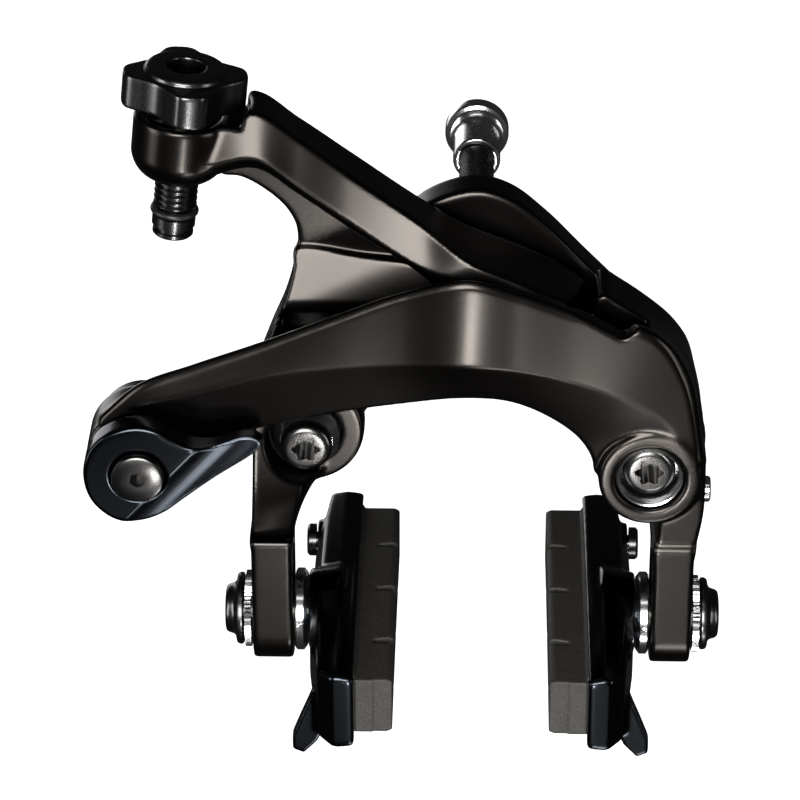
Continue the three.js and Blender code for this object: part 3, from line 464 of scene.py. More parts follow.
def carve(node, body, *cutters, sharp=32):
    """A crisp piece: a closed mesh with other closed meshes cut out of it."""
    piece = place(node, *body, sharp=sharp)
    for verts, tris in cutters:
        mesh = bpy.data.meshes.new("cutter")
        mesh.from_pydata((verts * MM).tolist(), [], tris.tolist())
        cutter = bpy.data.objects.new("cutter", mesh)
        bpy.context.scene.collection.objects.link(cutter)
        step = piece.modifiers.new("cut", "BOOLEAN")
        step.operation = "DIFFERENCE"
        step.solver = "EXACT"
        step.object = cutter
        bpy.context.view_layer.update()
        done = bpy.data.meshes.new_from_object(piece.evaluated_get(bpy.context.evaluated_depsgraph_get()))
        piece.modifiers.clear()
        old = piece.data
        piece.data = done
        bpy.data.meshes.remove(old)
        bpy.data.objects.remove(cutter)
        bpy.data.meshes.remove(mesh)
    mark_sharp(piece.data, sharp)
    even_normals(piece)
    return piece


# ---- mounting hardware --------------------------------------------------------------------------
def make_bridge():
    outline = smooth([
        (-27, -32), (-33.5, -29), (-34.6, -22), (-30, -13), (-20, 2), (-13, 9.6), (-7.5, 14.8), (0, 17.2),
        (5.5, 15.7), (11, 11.3), (17, 5), (24, -2.5), (31, -12.5), (35, -21), (34, -29), (28, -32),
        (21, -27), (14, -18.5), (0, -13.5), (-14, -18.5), (-21, -28)], 300, closed=True)
    clay = Clay((-36, -10, -33), (36, -2, 18.5), 0.3)
    clay.add(front_plate(outline, BRIDGE_BACK, BRIDGE_FRONT)).soften(3)
    clay.cut(rod(5.4, -14, -5.4, "y"), rod(BOLT_RADIUS + GAP, -14, 0, "y"))
    for x, z in (LEFT_PIVOT, RIGHT_PIVOT):
        clay.cut(rod(PIVOT_SHANK + GAP, -12, 0, "y", (x, 0, z)))
    place("bridge", *clay.soften(1).mesh())


def make_mounting_bolt():
    body = turned([
        (0, -8.8), (4.5, -8.8), (4.8, -8.7), (5, -8.4), (5, -5.7), (BOLT_RADIUS, -5.7), (BOLT_RADIUS, 24),
        (2.8, 24.3)] + thread(24.3, BOLT_END - 1, 1, 2.95, 0.3) + [(2.2, BOLT_END), (0, BOLT_END)], "y")
    carve("mounting_bolt", body, front_plate(hexagon(2.9), -6.4, -13))


def thread(start, end, pitch, radius, depth):
    """Profile pairs of a fine thread, as rings, from start to end."""
    pairs = []
    for k in range(int((end - start) / pitch)):
        t = start + k * pitch
        pairs += [(radius - depth, t), (radius, t + pitch * 0.35), (radius, t + pitch * 0.5),
                  (radius - depth, t + pitch * 0.85)]
    return pairs


def make_fork_washer():
    teeth = [(8.1 if k % 2 == 0 else 7.6) for k in range(40)]
    outline = [(r * math.cos(k * math.pi / 20), r * math.sin(k * math.pi / 20)) for k, r in enumerate(teeth)]
    carve("fork_washer", front_plate(outline, 0, -2), rod(BOLT_RADIUS + GAP, -3, 1, "y"))


def make_sleeve_nut():
    shell = turned([
        (0, NUT_MOUTH), (3.6, NUT_MOUTH), (3.85, NUT_MOUTH + 0.12), (4.05, NUT_MOUTH + 0.5),
        (4.05, NUT_FLANGE_FRONT - 1.8), (4.2, NUT_FLANGE_FRONT - 1.6), (4.6, NUT_FLANGE_FRONT - 1.3),
        (4.6, NUT_FLANGE_FRONT - 0.2), (4.75, NUT_FLANGE_FRONT), (5.3, NUT_FLANGE_FRONT + 0.2),
        (5.5, NUT_FLANGE_FRONT + 0.6), (5.5, NUT_BACK - 1.8), (5.3, NUT_BACK - 1.35), (5, NUT_BACK - 1.1),
        (4.75, NUT_BACK - 1), (4.6, NUT_BACK - 0.3), (4.3, NUT_BACK), (0, NUT_BACK)], "y", sides=128)
    carve("sleeve_nut", shell, rod(BOLT_RADIUS + 0.25, NUT_MOUTH - 1, NUT_BACK - 5, "y"),
          front_plate(hexagon(2.9), NUT_BACK + 1, NUT_BACK - 5.5))


def pivot_bolt(node, pivot, front, seat):
    at = (pivot[0], 0, pivot[1])
    head = [(0, front), (2.9, front), (3.4, front + 0.06), (PIVOT_HEAD - 0.2, front + 0.4),
            (PIVOT_HEAD, front + 0.75), (PIVOT_HEAD, seat)]
    shank = [(PIVOT_SHANK, seat), (PIVOT_SHANK, BRIDGE_BACK - 1.2), (PIVOT_SHANK - 0.5, BRIDGE_BACK - 0.6),
             (0, BRIDGE_BACK - 0.6)]
    socket = moved(front_plate(six_lobe(2), front + 3.2, front - 1), Matrix.Translation(at))
    carve(node, turned(head + shank, "y", at), socket)


def make_bushes():
    x, z = LEFT_PIVOT
    place("left_pivot_bush", *turned([
        (PIVOT_SHANK + 0.1, ARM_BACK + 0.2), (5.3, ARM_BACK + 0.2), (5.3, LEFT_BUSH_FRONT + 1.4),
        (4.2, LEFT_BUSH_FRONT), (PIVOT_SHANK + 0.1, LEFT_BUSH_FRONT), (PIVOT_SHANK + 0.1, ARM_BACK + 0.2)],
        "y", (x, 0, z)), sharp=32)
    x, z = RIGHT_PIVOT
    place("right_pivot_bush", *turned([
        (PIVOT_SHANK + 0.1, ARM_BACK + 0.2), (5.3, ARM_BACK + 0.2), (5.3, -28.5), (5.1, -28.7), (4.85, -28.6),
        (4.6, -27.4), (4.5, -24.1), (PIVOT_SHANK + 0.1, -24.1), (PIVOT_SHANK + 0.1, ARM_BACK + 0.2)],
        "y", (x, 0, z)), sharp=32)


def make_thrust_washers():
    for node, (x, z) in (("left_thrust_washer", LEFT_PIVOT), ("right_thrust_washer", RIGHT_PIVOT)):
        place(node, *ring(6.6, PIVOT_SHANK + 0.1, ARM_BACK + GAP, BRIDGE_FRONT - GAP, "y", (x, 0, z)), sharp=32)


# ---- arms ---------------------------------------------------------------------------------------
def leg(side, top):
    foot = [(STUD_Y + LEG_HALF_DEPTH * math.cos(t), SLOT_LOW + LEG_HALF_DEPTH * math.sin(t))
            for t in np.linspace(math.pi, 2 * math.pi, 40)]
    outline = [(STUD_Y - LEG_HALF_DEPTH, top)] + foot + [(STUD_Y + LEG_HALF_DEPTH, top)]
    return sided(side_plate(outline, LEG_INNER, LEG_OUTER), side)


def slot(side):
    low = [(STUD_Y + SLOT_HALF * math.cos(t), SLOT_LOW + SLOT_HALF * math.sin(t))
           for t in np.linspace(math.pi, 2 * math.pi, 30)]
    high = [(STUD_Y + SLOT_HALF * math.cos(t), SLOT_HIGH + SLOT_HALF * math.sin(t))
            for t in np.linspace(0, math.pi, 30)]
    return sided(side_plate(low + high, LEG_INNER - 3, LEG_OUTER + 3), side)


def make_adjuster_arm():
    def under(x, y):
        return (x, y, link_height(x))

    sloping = beam([
        [(-42, -11, 31.5), (-34.5, -10.9, 35.2), (-27.4, -10.9, 30.6), (-19.7, -10.9, 25), (-9.1, -10.9, 17.3),
         (-1.6, -11, 12.6), (7, -11.4, 9.2), (13.3, -11.8, 6.3), (18, -13, 3.2)],
        [(-42, -20, 31), (-34, -19.6, 35), (-27, -19.8, 30.6), (-19.4, -20.2, 24.9), (-8.9, -22, 18),
         (-1, -25.3, 12.9), (5.6, -25.4, 10), (11, -25.2, 7.4), (18, -23, 4.2)],
        [(-42, -21.4, 26.5), (-34, -21.9, 28.3), (-27.6, -22, 23.9), (-19.8, -22.4, 18.2), (-8.8, -24.2, 11.4),
         (-2, -25.8, 10), (5.6, -25.9, 8), (11, -25.9, 5.4), (18, -25.9, 1.8)],
        [(-42, -20, 24), (-34, -20.6, 26.2), (-27.6, -20.8, 22.1), (-19.8, -21.2, 16.6), (-8.8, -23.4, 9.9),
         under(-2, -25.6), under(5.6, -25.6), under(11, -25.6), under(18, -25.6)],
        [(-42, -11, 23.4), (-34, -10.9, 25), (-27.6, -10.9, 21), (-19.8, -10.9, 15.5), (-8.8, -10.9, 9),
         under(-2, -11), under(6.7, -11.4), under(13, -11.8), under(18, -13)],
    ])
    tip_end = plan_plate([(17.3, -8), (17.2, -13.5), (16, -20), (13.2, -26.5), (13.2, -30), (30, -30),
                             (30, -8)], -12, 14)
    web = front_plate(smooth([
        (-42, 26), (-40, 21.8), (-36.6, 21.2), (-32.6, 18.8), (-29.6, 15.8), (-28.1, 12.5), (-28.2, 7.5),
        (-29.8, 1.5), (-32.4, -5), (-35, -13), (-35.6, -22), (-33, -30), (-26.8, -32.2), (-20, -29), (-17.8, -23),
        (-18.6, -16), (-15, -8), (-8, -2), (-3, 5), (-6, 12), (-20, 22), (-34, 32)], 300, closed=True),
        ARM_BACK, -13.4)
    outline = smooth([
        (-28.3, 9.2), (-28.7, 6), (-30.2, 0.5), (-32.6, -5.5), (-35, -13), (-35.4, -22), (-32, -25), (-26, -13.5),
        (-17, -9), (-9, -2), (-5, 4), (-8, 6.6), (-18, 8.2)], 240, closed=True)
    thick_web = loft([[(x, -12, z) for x, z in outline],
                      [(x, -14.1 - 0.29 * (9 - z) if z > 1 else -16.4, z) for x, z in outline]])
    web_face = side_plate([(-17, 1), (-13, -8), (-13, -12), (-30, -12), (-30, 1)], -31, 0)
    boss = front_plate(circle(LEFT_PIVOT, LEFT_BOSS), ARM_BACK, LEFT_BOSS_FRONT)
    cup = leaning(turned([
        (0, -5.6), (4, -5.6), (5, -5.3), (5.9, -4.7), (6.7, -3.8), (7.2, -2.8), (BOSS_RADIUS, -1.8),
        (BOSS_RADIUS, BOSS_TOP - 0.3), (BOSS_RADIUS - 0.3, BOSS_TOP), (0, BOSS_TOP)], "z"))
    shoulder = beam([
        [(-35.4, -12.5, -20), (-35.4, -14.5, -30), (-35.4, -15.6, -38)],
        [(-24, -12.5, -22), (-24.5, -14.5, -30), (-28.9, -15.6, -36.6)],
        [(-28, -16.8, -20), (-27.5, -20, -30), (-28.9, -27.6, -36.8)],
        [(-35.4, -16.8, -18), (-35.4, -21.5, -29), (-35.4, -27.6, -37)],
    ])
    x, z = LEFT_PIVOT
    clay = Clay((-54, -29, -62), (18, -7, 36.5), 0.28)
    clay.add(web, thick_web, fillet=0.4).cut(web_face).add(sloping, fillet=0.4)
    clay.add(boss, cup, shoulder, leg("left", -36), fillet=1).soften(1)
    clay.cut(tip_end, slot("left"), rod(6.6, -30, LEFT_BOSS_FRONT, "y", (x, 0, z)))
    clay.cut(rod(5.3 + GAP, -30, 0, "y", (x, 0, z)), leaning(rod(BARREL_RADIUS + GAP, -20, 20, "z")))
    washer_room = leaning(rod(5.9, WASHER_SEAT, 20, "z"))
    knob_room = leaning(rod(KNOB_REACH + 0.7, KNOB_LOW - 0.8, 20, "z"))
    clay.cut(washer_room, knob_room, fillet=0.8)
    place("adjuster_arm", *clay.soften(1).mesh())


def make_cable_arm():
    arch = beam([
        [(-58.8, ARCH_BACK, -19.4), (-53, ARCH_BACK, -14.4), (-44, ARCH_BACK, -10.6), (-33, ARCH_BACK, -6.2),
         (-22.4, ARCH_BACK, -2), (-11, ARCH_BACK, 2.4), (-1, ARCH_BACK, 4.6), (9, ARCH_BACK, 3.2),
         (19, ARCH_BACK, 1.6), (27.4, ARCH_BACK, -1), (33.4, ARCH_BACK, -6.5), (36.4, ARCH_BACK, -20)],
        [(-59, -25.2, -14.8), (-52.5, -25.8, -8.6), (-44, -26.4, -4.8), (-33, -27.2, -0.2), (-22.4, -28, 4.6),
         (-11, -29, 9.6), (-1, -30.4, 12.4), (7, -29.8, 10), (15, -29.2, 6.8), (28, -28.7, 2.6),
         (33.4, -28.2, -5), (36.4, -28.2, -20)],
        [(-59.2, -26, -15.6), (-52.5, -26.6, -9.8), (-44, -27.1, -6), (-33, -27.9, -1.3), (-22.4, -28.7, 3.5),
         (-11, -29.6, 8.5), (-1, -31, 11.3), (7, -30.4, 8.9), (15, -29.8, 5.7), (27.6, -29.4, 1.6),
         (32.6, -29.2, -6), (35.6, -29.2, -20)],
        [(-58.6, -26.2, -16.4), (-52, -27, -12.2), (-43.6, -27.7, -9.4), (-32, -28.5, -5.6), (-22, -29, -4),
         (-11, -29.7, -2.9), (-1.6, -31, -2.4), (6.5, -30.4, -3.3), (14.5, -29.9, -5.2), (23, -29.7, -8.4),
         (30, -29.4, -13), (34.6, -29.3, -21)],
        [(-56.5, -23.5, -24), (-50, -24, -21.8), (-42.6, -25, -19.6), (-32, -26.2, -16), (-21.5, -26.8, -13.2),
         (-11, -27.2, -11.2), (-1.4, -27.4, -10), (5.5, -27.3, -10.6), (11.5, -27.2, -13.2), (16.4, -27.2, -17),
         (18.6, -27.4, -20.6), (19, -27.6, -23.2)],
        [(-56.5, ARCH_BACK, -24), (-50, ARCH_BACK, -21.8), (-42.6, ARCH_BACK, -19.6), (-32, ARCH_BACK, -16),
         (-21.5, ARCH_BACK, -13.2), (-11, ARCH_BACK, -11.2), (-1.4, ARCH_BACK, -10), (5.5, ARCH_BACK, -10.6),
         (11.5, ARCH_BACK, -13.2), (16.4, ARCH_BACK, -17), (18.6, ARCH_BACK, -20.6), (19, ARCH_BACK, -23.2)],
    ])
    anchor_plate = front_plate(circle(ANCHOR, LEVER_HUB), ARCH_BACK, -26)
    boss = front_plate(circle(RIGHT_PIVOT, RIGHT_BOSS), ARCH_BACK, RIGHT_BOSS_FRONT)
    shoulder = front_plate(smooth([
        (20.2, 4.9), (22.5, 3.5), (27, 0.3), (31, -3.2), (33.8, -7.2), (35.2, -12), (36.4, -18), (36.4, -24),
        (34.5, -28.4), (28, -31.2), (21.6, -28), (19.6, -22), (19.5, -12), (18.8, -3), (18.6, 2.6),
        (19, 4.3)], 240, closed=True),
        ARM_BACK, SHOULDER_FRONT)
    outer = beam([
        [(31, -15.6, -20), (29.6, -15.6, -31), (28.9, -15.6, -39)],
        [(36.6, -15.6, -20), (36.6, -15.6, -30), (35.4, -15.6, -38)],
        [(36.6, -28.4, -20), (36.6, -28, -30), (35.4, -27.7, -38)],
        [(31, -28.4, -20), (29.6, -28, -31), (28.9, -27.7, -39)],
    ])
    x, z = RIGHT_PIVOT
    floor = -1.8
    room = front_plate([(-16, link_height(-16, floor) - 6), (ROLLER_X - 2, link_height(ROLLER_X, floor) - 0.4),
                        (18.6, link_height(18.6, floor) - 0.4), (18.6, 14), (-16, 26)], 0, LIP_BACK)
    pocket = front_plate([(14, link_height(14, floor)), (23.2, link_height(23.2, floor)), (27, 0.4), (27, 12),
                          (14, 14)], SHOULDER_FRONT, LIP_BACK)
    notch = front_plate([(12.4, 8.4), (15.3, 6.3), (19.2, 4.1), (22.5, 2.1), (23.4, 2.1), (26.5, 4.8), (27.4, 9),
                                         (20, 14)], SHOULDER_FRONT, -40)
    clay = Clay((-62, -31, -62), (38, -10, 13), 0.3)
    clay.add(anchor_plate, arch, boss, fillet=0.6).add(shoulder, outer, leg("right", -36.5), fillet=1)
    clay.soften(1)
    clay.cut(room, pocket, notch)
    clay.cut(slot("right"), rod(5.3 + GAP, -40, 0, "y", (x, 0, z)))
    clay.cut(at_anchor(rod(4 + GAP, -40, 0, "y")), at_anchor(rod(LEVER_HUB + 0.6, -40, -26.6, "y")))
    clay.cut(rod(1.5 + GAP, 30, 45, "x", (0, CENTRING_Y, CENTRING_Z)))
    clay.cut(rod(1.5 + GAP, LIP_BACK - 2, -15, "y", (ROLLER_X, 0, ROLLER_Z)))
    clay.cut(rod(ROLLER_RADIUS + 0.5, LIP_BACK, -18.6, "y", (ROLLER_X, 0, ROLLER_Z)))
    place("cable_arm", *clay.soften(1).mesh())


# ---- link, return spring, centring screw --------------------------------------------------------
def make_link():
    at = (ROLLER_X, 0, ROLLER_Z)
    place("link_roller", *ring(ROLLER_RADIUS, 1.8, -25.6, -21, "y", at), sharp=32)
    place("roller_pin", *rod(1.5, LIP_BACK - 1.7, -17.6, "y", at), sharp=32)


def make_return_spring():
    half = [(31.8, SEAT_Y + 0.6, SEAT_Z), (31.8, -9, SEAT_Z), (32, -3, SEAT_Z + 1), (32.6, -1.1, -33),
            (33, -1.1, -22), (27.5, -1.1, -11), (19.5, -1.1, -2.4), (10, -1.1, 5.6)]
    left = [(-x, y, z) for x, y, z in reversed(half)]
    place("return_spring", *wire(half + [(0, -1.1, 9.6)] + left, 0.8), sharp=50)


def make_spring_seats():
    for side in ("left", "right"):
        clay = Clay((29, -16, -42), (35.4, -11, -35), 0.15)
        clay.add(box(29.4, LEG_OUTER, STUD_Y + LEG_HALF_DEPTH + GAP, SEAT_Y + 1.6, SEAT_Z - 3, SEAT_Z + 3))
        clay.cut(box(28, SEAT_END + 0.3, SEAT_Y - 0.4, SEAT_Y + 3, SEAT_Z - 1.5, SEAT_Z + 1.5))
        points, quads = clay.soften(2).mesh()
        if side == "left":
            points = points * np.array([-1, 1, 1])
            quads = quads[:, ::-1]
        place(f"{side}_spring_seat", points, quads)


def make_centring_screw():
    at = (0, CENTRING_Y, CENTRING_Z)
    body = turned([(0, 32), (1.1, 32), (1.5, 32.5), (1.5, 36.9), (2.1, 36.9), (2.1, 37.7), (1.8, 38), (0, 38)],
                  "x", at)
    carve("centring_screw", body, moved(side_plate(hexagon(1), 37.1, 40), Matrix.Translation(at)))


# ---- cable adjuster -----------------------------------------------------------------------------
def knob_outline():
    points = []
    for lobe in range(4):
        middle = math.radians(100 + 90 * lobe)
        for turn, reach in ((-0.23, 0.97), (-0.12, 1), (0.12, 1), (0.23, 0.97), (0.42, 0.84), (0.6, 0.755),
                            (math.pi / 4, 0.725), (0.97, 0.755), (1.15, 0.84)):
            radius = KNOB_REACH * reach
            points.append((radius * math.cos(middle + turn), radius * math.sin(middle + turn)))
    return smooth(points, 288, closed=True)


def make_knob():
    star = leaning(plan_plate(knob_outline(), KNOB_LOW, KNOB_HIGH + 0.3))
    crown = leaning(turned([(0, KNOB_HIGH - 1), (6.3, KNOB_HIGH - 1), (6.3, KNOB_HIGH + 0.9), (5.8, KNOB_HIGH + 1.3),
                            (0, KNOB_HIGH + 1.3)], "z"))
    clay = Clay((-56, -26, 31), (-34, -4, 42.5), 0.16)
    clay.add(star).soften(2)
    clay.add(crown, leaning(rod(5.2, WASHER_SEAT + 1.6, KNOB_LOW + 1, "z")))
    clay.cut(leaning(rod(BARREL_RADIUS + GAP, 0, KNOB_HIGH - 0.3, "z")), leaning(rod(3.05, 0, 20, "z")))
    place("adjuster_knob", *clay.soften(1).mesh())


def make_barrel():
    profile = [(WIRE_BORE, BARREL_LOW), (BARREL_RADIUS - 0.5, BARREL_LOW), (BARREL_RADIUS - 0.2, BARREL_LOW + 0.3),
               (BARREL_RADIUS - 0.2, BARREL_LOW + 0.8), (2.8, BARREL_LOW + 1), (2.8, BARREL_LOW + 1.4),
               (BARREL_RADIUS, BARREL_LOW + 1.8), (BARREL_RADIUS, O_RING - 0.8), (2.65, O_RING - 0.7),
               (2.65, O_RING + 0.7)]
    profile += thread(O_RING + 0.8, -5.6, 1, BARREL_RADIUS, 0.5)
    profile += [(BARREL_RADIUS, -5.6), (BARREL_RADIUS, KNOB_HIGH - 0.6), (CABLE_BORE, KNOB_HIGH - 0.6),
                (CABLE_BORE, BORE_STEP), (WIRE_BORE, BORE_STEP), (WIRE_BORE, BARREL_LOW)]
    place("adjuster_barrel", *leaning(turned(profile, "z")), sharp=40)
    turns = np.linspace(0, 2 * math.pi, 25)
    ring_profile = [(3.25 + 0.55 * math.cos(t), O_RING + 0.55 * math.sin(t)) for t in turns]
    place("adjuster_o_ring", *leaning(turned(ring_profile, "z")))
    verts, tris = ring(5.4, BARREL_RADIUS + GAP, WASHER_SEAT + 0.6, WASHER_SEAT + 0.9, "z")
    verts = verts.copy()
    verts[:, 2] += 0.35 * np.sin(3 * np.arctan2(verts[:, 1], verts[:, 0]))
    place("adjuster_wave_washer", *leaning((verts, tris)), sharp=40)


# ---- quick release and cable anchor -------------------------------------------------------------
def make_lever():
    outline = smooth([
        (-61.3, -22), (-60.2, -17.6), (-57.2, -14.6), (-53, -13.3), (-49.5, -13.9), (-46.6, -15.7), (-44.2, -16.8),
        (-41.3, -17), (-38.4, -16.2), (-36.2, -15.5), (-34, -15.7), (-33, -16.9), (-34, -18.3), (-41, -23.4),
        (-45.6, -27), (-49, -29.6), (-52.4, -30.7), (-56.8, -29.9), (-60.2, -26.6)], 300, closed=True)
    valley = moved(rod(13, -25, 25, "z"), Matrix.Translation((-39.8, LEVER_FRONT - 11.2, -23))
                   @ Matrix.Rotation(math.radians(42), 4, "Y"))
    clay = Clay((-62.5, -33, -32), (-32, -27, -12), 0.16)
    clay.add(front_plate(outline, LEVER_BACK, LEVER_FRONT)).soften(6)
    clay.cut(valley, fillet=0.3)
    clay.cut(at_anchor(rod(4.5, -40, LEVER_FRONT + 1.4, "y")), at_anchor(rod(1.8, -40, 0, "y")))
    place("quick_release_lever", *clay.soften(2).mesh())


def make_lever_fittings():
    screw = turned([(0, SCREW_FRONT), (3.6, SCREW_FRONT), (3.95, SCREW_FRONT + 0.15), (4.15, SCREW_FRONT + 0.5),
                    (4.15, LEVER_FRONT + 1.1), (1.6, LEVER_FRONT + 1.1), (1.6, -21), (0, -21)], "y")
    carve("quick_release_screw", at_anchor(screw),
          at_anchor(front_plate(hexagon(1.35, 0.3), SCREW_FRONT + 2.6, SCREW_FRONT - 1)))
    carve("quick_release_shaft", at_anchor(rod(4, LEVER_BACK + GAP, ARCH_BACK + GAP, "y")),
          at_anchor(rod(1.8, -40, -20.7, "y")))
    disc = turned([(0, -16.7), (7, -16.7), (7.5, -16.2), (7.5, ANCHOR_FACE - 0.4), (7.1, ANCHOR_FACE),
                   (0, ANCHOR_FACE)], "y")
    carve("cable_anchor_block", at_anchor(disc), at_anchor(rod(2 + GAP, -15.6, 0, "y")),
          at_anchor(box(2.9, 4.3, -14.1, -13, -10, 10)))
    plate = front_plate(smooth([(-5.6, 0), (-4, -4.2), (0, -5.6), (4, -4.4), (5.8, 0), (4, 4.4), (0, 5.6), (-4, 4.2)],
                               96, closed=True), ANCHOR_FACE + 1.7, ANCHOR_FACE + GAP)
    carve("cable_clamp_plate", at_anchor(plate), at_anchor(rod(2 + GAP, -20, 0, "y")))
    front = ANCHOR_FACE + 2
    clay = Clay((-58, -16, -27.5), (-47.5, -7.5, -16.5), 0.14)
    clay.add(at_anchor(front_plate(hexagon(4.6, math.pi / 6), front + 3.4, front)),
             at_anchor(rod(2, -15.3, front + 0.5, "y")))
    place("cable_anchor_bolt", *clay.soften(2).mesh())


# ---- brake shoes: made for the +X side and mirrored ----------------------------------------------
def shoe_height(y):
    return STUD_Z - 0.2 - (y - PAD_MIDDLE) ** 2 / (2 * RIM_RADIUS)


def shoe_beam(corners, back, front):
    stations = np.linspace(front, back, 60)
    return loft([[(x, y, shoe_height(y) + z) for x, z in corners] for y in stations])


def flip(points, quads, side):
    if side == "right":
        return points, quads
    return points * np.array([-1, 1, 1]), quads[:, ::-1]


def make_pad(side):
    block = shoe_beam([(PAD_FACE, -4.5), (PAD_FACE + 0.8, -PAD_HALF_HEIGHT), (18.4, -PAD_HALF_HEIGHT),
                       (18.4, PAD_HALF_HEIGHT), (PAD_FACE + 0.8, PAD_HALF_HEIGHT), (PAD_FACE, 4.5)],
                      PAD_BACK, PAD_FRONT)
    flange = shoe_beam([(18.2, -FLANGE_HALF_HEIGHT), (19.6, -FLANGE_HALF_HEIGHT), (19.6, FLANGE_HALF_HEIGHT),
                        (18.2, FLANGE_HALF_HEIGHT)], PAD_BACK, PAD_FRONT + 0.6)
    clay = Clay((12, -49, -60.5), (20, 5, -46), 0.2)
    clay.add(block, flange)
    for y in GROOVES:
        clay.cut(plan_plate([(PAD_FACE - 0.8, y - 0.5), (PAD_FACE + 3.2, y - 0.5), (PAD_FACE + 3.2, y + 0.4),
                             (PAD_FACE - 0.8, y + 1.2)], shoe_height(y) - 10, shoe_height(y) + 10))
    low = shoe_height(PAD_FRONT) - 10
    clay.cut(plan_plate([(PAD_FACE - 3, PAD_FRONT - 3), (PAD_FACE + 3, PAD_FRONT - 3), (PAD_FACE + 3, PAD_FRONT + 0.2),
                         (PAD_FACE + 0.2, PAD_FRONT + 0.2)], low, low + 20))
    clay.cut(rod(1.6, 17.4, 22, "x", (0, -2.2, shoe_height(-2.2) + 2)))
    place(f"{side}_brake_pad", *flip(*clay.soften(1).mesh(), side))


def make_holder(side):
    body = shoe_beam([(HOLDER_INNER, -6.2), (21, -6.6), (24.4, -6), (HOLDER_OUTER - 0.5, -3.6),
                      (HOLDER_OUTER - 0.5, 3.6), (24.4, 6.2), (21, 6.8), (HOLDER_INNER, 6.4)],
                     PAD_BACK + 3, PAD_FRONT - 2.2)
    channel = shoe_beam([(HOLDER_INNER - 1, -PAD_HALF_HEIGHT - GAP), (18.5, -FLANGE_HALF_HEIGHT - GAP),
                         (19.6 + GAP, -FLANGE_HALF_HEIGHT - GAP), (19.6 + GAP, FLANGE_HALF_HEIGHT + GAP),
                         (18.5, FLANGE_HALF_HEIGHT + GAP), (HOLDER_INNER - 1, PAD_HALF_HEIGHT + GAP)],
                        PAD_BACK + 4, PAD_FRONT - GAP)
    low, high = STUD_Z - 15, STUD_Z + 15
    taper_back = plan_plate([(HOLDER_OUTER + 0.02, -12), (HOLDER_OUTER + 6, -12), (HOLDER_OUTER + 6, 9), (23.8, 9),
                             (24.6, 0)], low, high)
    taper_front = plan_plate([(HOLDER_OUTER + 0.02, -32), (HOLDER_OUTER + 6, -32), (HOLDER_OUTER + 6, -54),
                              (23.8, -54), (24.6, -44)], low, high)
    nose = plan_plate([(17, -60), (40, -60), (40, -44), (25.4, -44), (24.2, -48), (21.8, -50.4), (17, -50.8)],
                      low, high)
    fin = front_plate([(22.4, -57.8), (23, -52), (25, -53), (27, -58), (28.2, -61.2), (28.2, -63.6),
                       (26.4, -64.4), (24.2, -62)], -43.6, -46)
    stud_boss = turned([(0, 21), (7.4, 21), (6.6, HOLDER_OUTER - 0.4), (6.4, HOLDER_OUTER), (0, HOLDER_OUTER)], "x",
                       (0, STUD_Y, STUD_Z))
    at_screw = (0, -2.2, shoe_height(-2.2) + 2)
    clay = Clay((18, -52, -67), (30, 9, -44), 0.2)
    clay.add(body).soften(4).cut(taper_back, taper_front, nose, fillet=0.4).soften(2)
    clay.add(fin, fillet=0.8).add(rod(3.4, 22, 25.8, "x", at_screw), stud_boss, fillet=0.6).soften(1)
    clay.cut(channel, rod(1.4 + GAP, 16, 30, "x", at_screw), rod(3 + GAP, 21.6, 30, "x", (0, STUD_Y, STUD_Z)))
    place(f"{side}_shoe_holder", *flip(*clay.soften(1).mesh(), side))


def make_shoe_hardware(side):
    at = (0, STUD_Y, STUD_Z)
    at_screw = (0, -2.2, shoe_height(-2.2) + 2)
    screw = turned([(0, 20.6), (1.4, 20.6), (1.4, 26.1), (2.7, 26.1), (2.7, 27.2), (2.3, 27.6), (0, 27.6)],
                   "x", at_screw)
    socket = moved(side_plate(hexagon(1.1), 26.6, 29), Matrix.Translation(at_screw))
    carve(f"{side}_pad_screw", sided(screw, side), sided(socket, side))
    stud = turned([(0, 21.9), (2.4, 21.9), (3, 22.5), (3, 37.6), (2.6, 38), (0, 38)], "x", at)
    place(f"{side}_shoe_stud", *sided(stud, side), sharp=32)
    spacer = turned([(3 + GAP, HOLDER_OUTER + 0.2), (5.9, HOLDER_OUTER + 0.2), (6.7, 27.2), (6.7, 28.3),
                     (6.3, LEG_INNER - GAP), (3 + GAP, LEG_INNER - GAP), (3 + GAP, HOLDER_OUTER + 0.2)], "x", at)
    place(f"{side}_inner_spacer", *sided(spacer, side), sharp=32)
    teeth = [(6.25 if k % 2 == 0 else 6.05) for k in range(120)]
    knurl = [(r * math.cos(k * math.pi / 60), r * math.sin(k * math.pi / 60)) for k, r in enumerate(teeth)]
    washer = moved(side_plate(knurl, LEG_OUTER + GAP, LEG_OUTER + GAP + 1), Matrix.Translation(at))
    carve(f"{side}_outer_washer", sided(washer, side), sided(rod(3 + GAP, 30, 40, "x", at), side))
    nut = turned([(0, 37), (5.6, 37), (5.85, 37.15), (5.9, 37.5), (5.8, 37.9), (5.5, 38.15), (4.9, 38.25),
                  (4.45, 38.4), (4.2, 38.7), (4.05, 39.2), (3.9, 39.6), (3.6, 39.9), (3.2, 40), (0, 40)], "x", at)
    socket = moved(side_plate(hexagon(2.3), 38.2, 42), Matrix.Translation(at))
    carve(f"{side}_shoe_nut", sided(nut, side), sided(rod(3 + GAP, 30, 38.3, "x", at), side), sided(socket, side))


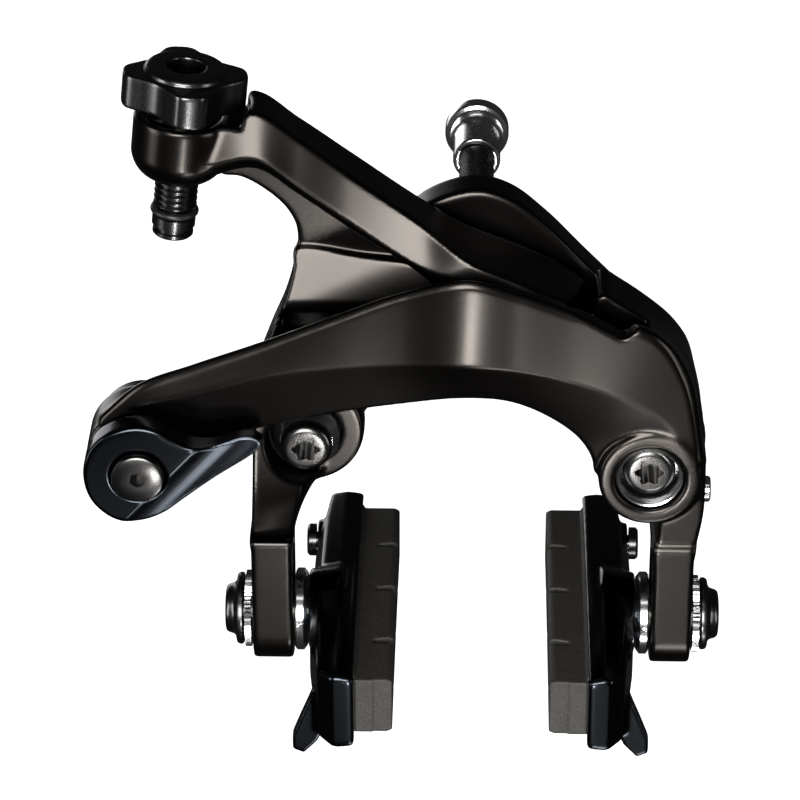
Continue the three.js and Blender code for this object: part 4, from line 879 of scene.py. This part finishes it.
make_bridge()
make_mounting_bolt()
make_fork_washer()
make_sleeve_nut()
pivot_bolt("left_pivot_bolt", LEFT_PIVOT, LEFT_HEAD_FRONT, LEFT_BUSH_FRONT - GAP)
pivot_bolt("right_pivot_bolt", RIGHT_PIVOT, RIGHT_HEAD_FRONT, -24.4)
make_bushes()
make_thrust_washers()
make_adjuster_arm()
make_cable_arm()
make_link()
make_return_spring()
make_spring_seats()
make_centring_screw()
make_knob()
make_barrel()
make_lever()
make_lever_fittings()
for one_side in ("left", "right"):
    make_pad(one_side)
    make_holder(one_side)
    make_shoe_hardware(one_side)


# ---- studio -------------------------------------------------------------------------------------
def make_floor():
    mesh = bpy.data.meshes.new("floor")
    size, low = 4.0, -0.30
    mesh.from_pydata([(-size, -size, low), (size, -size, low), (size, size, low), (-size, size, low)], [],
                     [(0, 1, 2, 3)])
    floor = bpy.data.objects.new("floor", mesh)
    bpy.context.scene.collection.objects.link(floor)
    pale = bpy.data.materials.new("pale_floor")
    pale.use_nodes = True
    shader = pale.node_tree.nodes["Principled BSDF"]
    shader.inputs["Base Color"].default_value = (0.86, 0.86, 0.86, 1)
    shader.inputs["Roughness"].default_value = 0.9
    shader.inputs["Emission Color"].default_value = (1, 1, 1, 1)
    shader.inputs["Emission Strength"].default_value = 1
    mesh.materials.append(pale)
    floor.visible_diffuse = False
    floor.visible_glossy = False


def soft_box(name, spot, aim, size, power):
    data = bpy.data.lights.new(name, "AREA")
    data.shape = "RECTANGLE"
    data.size, data.size_y = size
    data.energy = power
    lamp = bpy.data.objects.new(name, data)
    lamp.location = spot
    lamp.rotation_euler = (Vector(aim) - Vector(spot)).to_track_quat("-Z", "Y").to_euler()
    bpy.context.scene.collection.objects.link(lamp)
    return lamp


def make_light():
    world = bpy.data.worlds.new("studio")
    bpy.context.scene.world = world
    world.use_nodes = True
    world.node_tree.nodes["Background"].inputs["Color"].default_value = (1, 1, 1, 1)
    world.node_tree.nodes["Background"].inputs["Strength"].default_value = 0.02
    middle = (-0.01, -0.01, -0.01)
    soft_box("front_box", (-0.10, -0.80, 0.21), middle, (0.40, 0.44), 8.4)
    soft_box("left_box", (-0.75, -0.36, 0.06), middle, (0.25, 0.60), 2.6)
    soft_box("right_box", (0.72, -0.40, 0.00), middle, (0.20, 0.50), 1.1)
    soft_box("low_box", (0.0, -0.40, -0.27), middle, (0.36, 0.05), 0.022)
    soft_box("lever_box", (0.06, -0.24, -0.28), (-0.044, -0.03, -0.021), (0.09, 0.06), 0.17)
    soft_box("ridge_strip", (0.0, -0.31, -0.150), (0, -0.03, 0.005), (0.032, 0.05), 0.27)
    soft_box("high_strip", (-0.05, -0.48, 0.75), middle, (0.50, 0.07), 0.3)
    soft_box("back_box", (-0.40, 0.80, -0.02), middle, (0.50, 0.40), 1.0)


def make_camera():
    data = bpy.data.cameras.new("camera")
    data.sensor_width = 36
    data.lens = 167.4
    camera = bpy.data.objects.new("camera", data)
    camera.location = (0.0, -0.53556, 0.27142)
    aim = Vector((-0.01194, -0.01079, -0.01947))
    camera.rotation_euler = (aim - camera.location).to_track_quat("-Z", "Y").to_euler()
    bpy.context.scene.collection.objects.link(camera)
    bpy.context.scene.camera = camera
    bpy.context.scene.view_settings.view_transform = "Standard"


make_floor()
make_light()
make_camera()
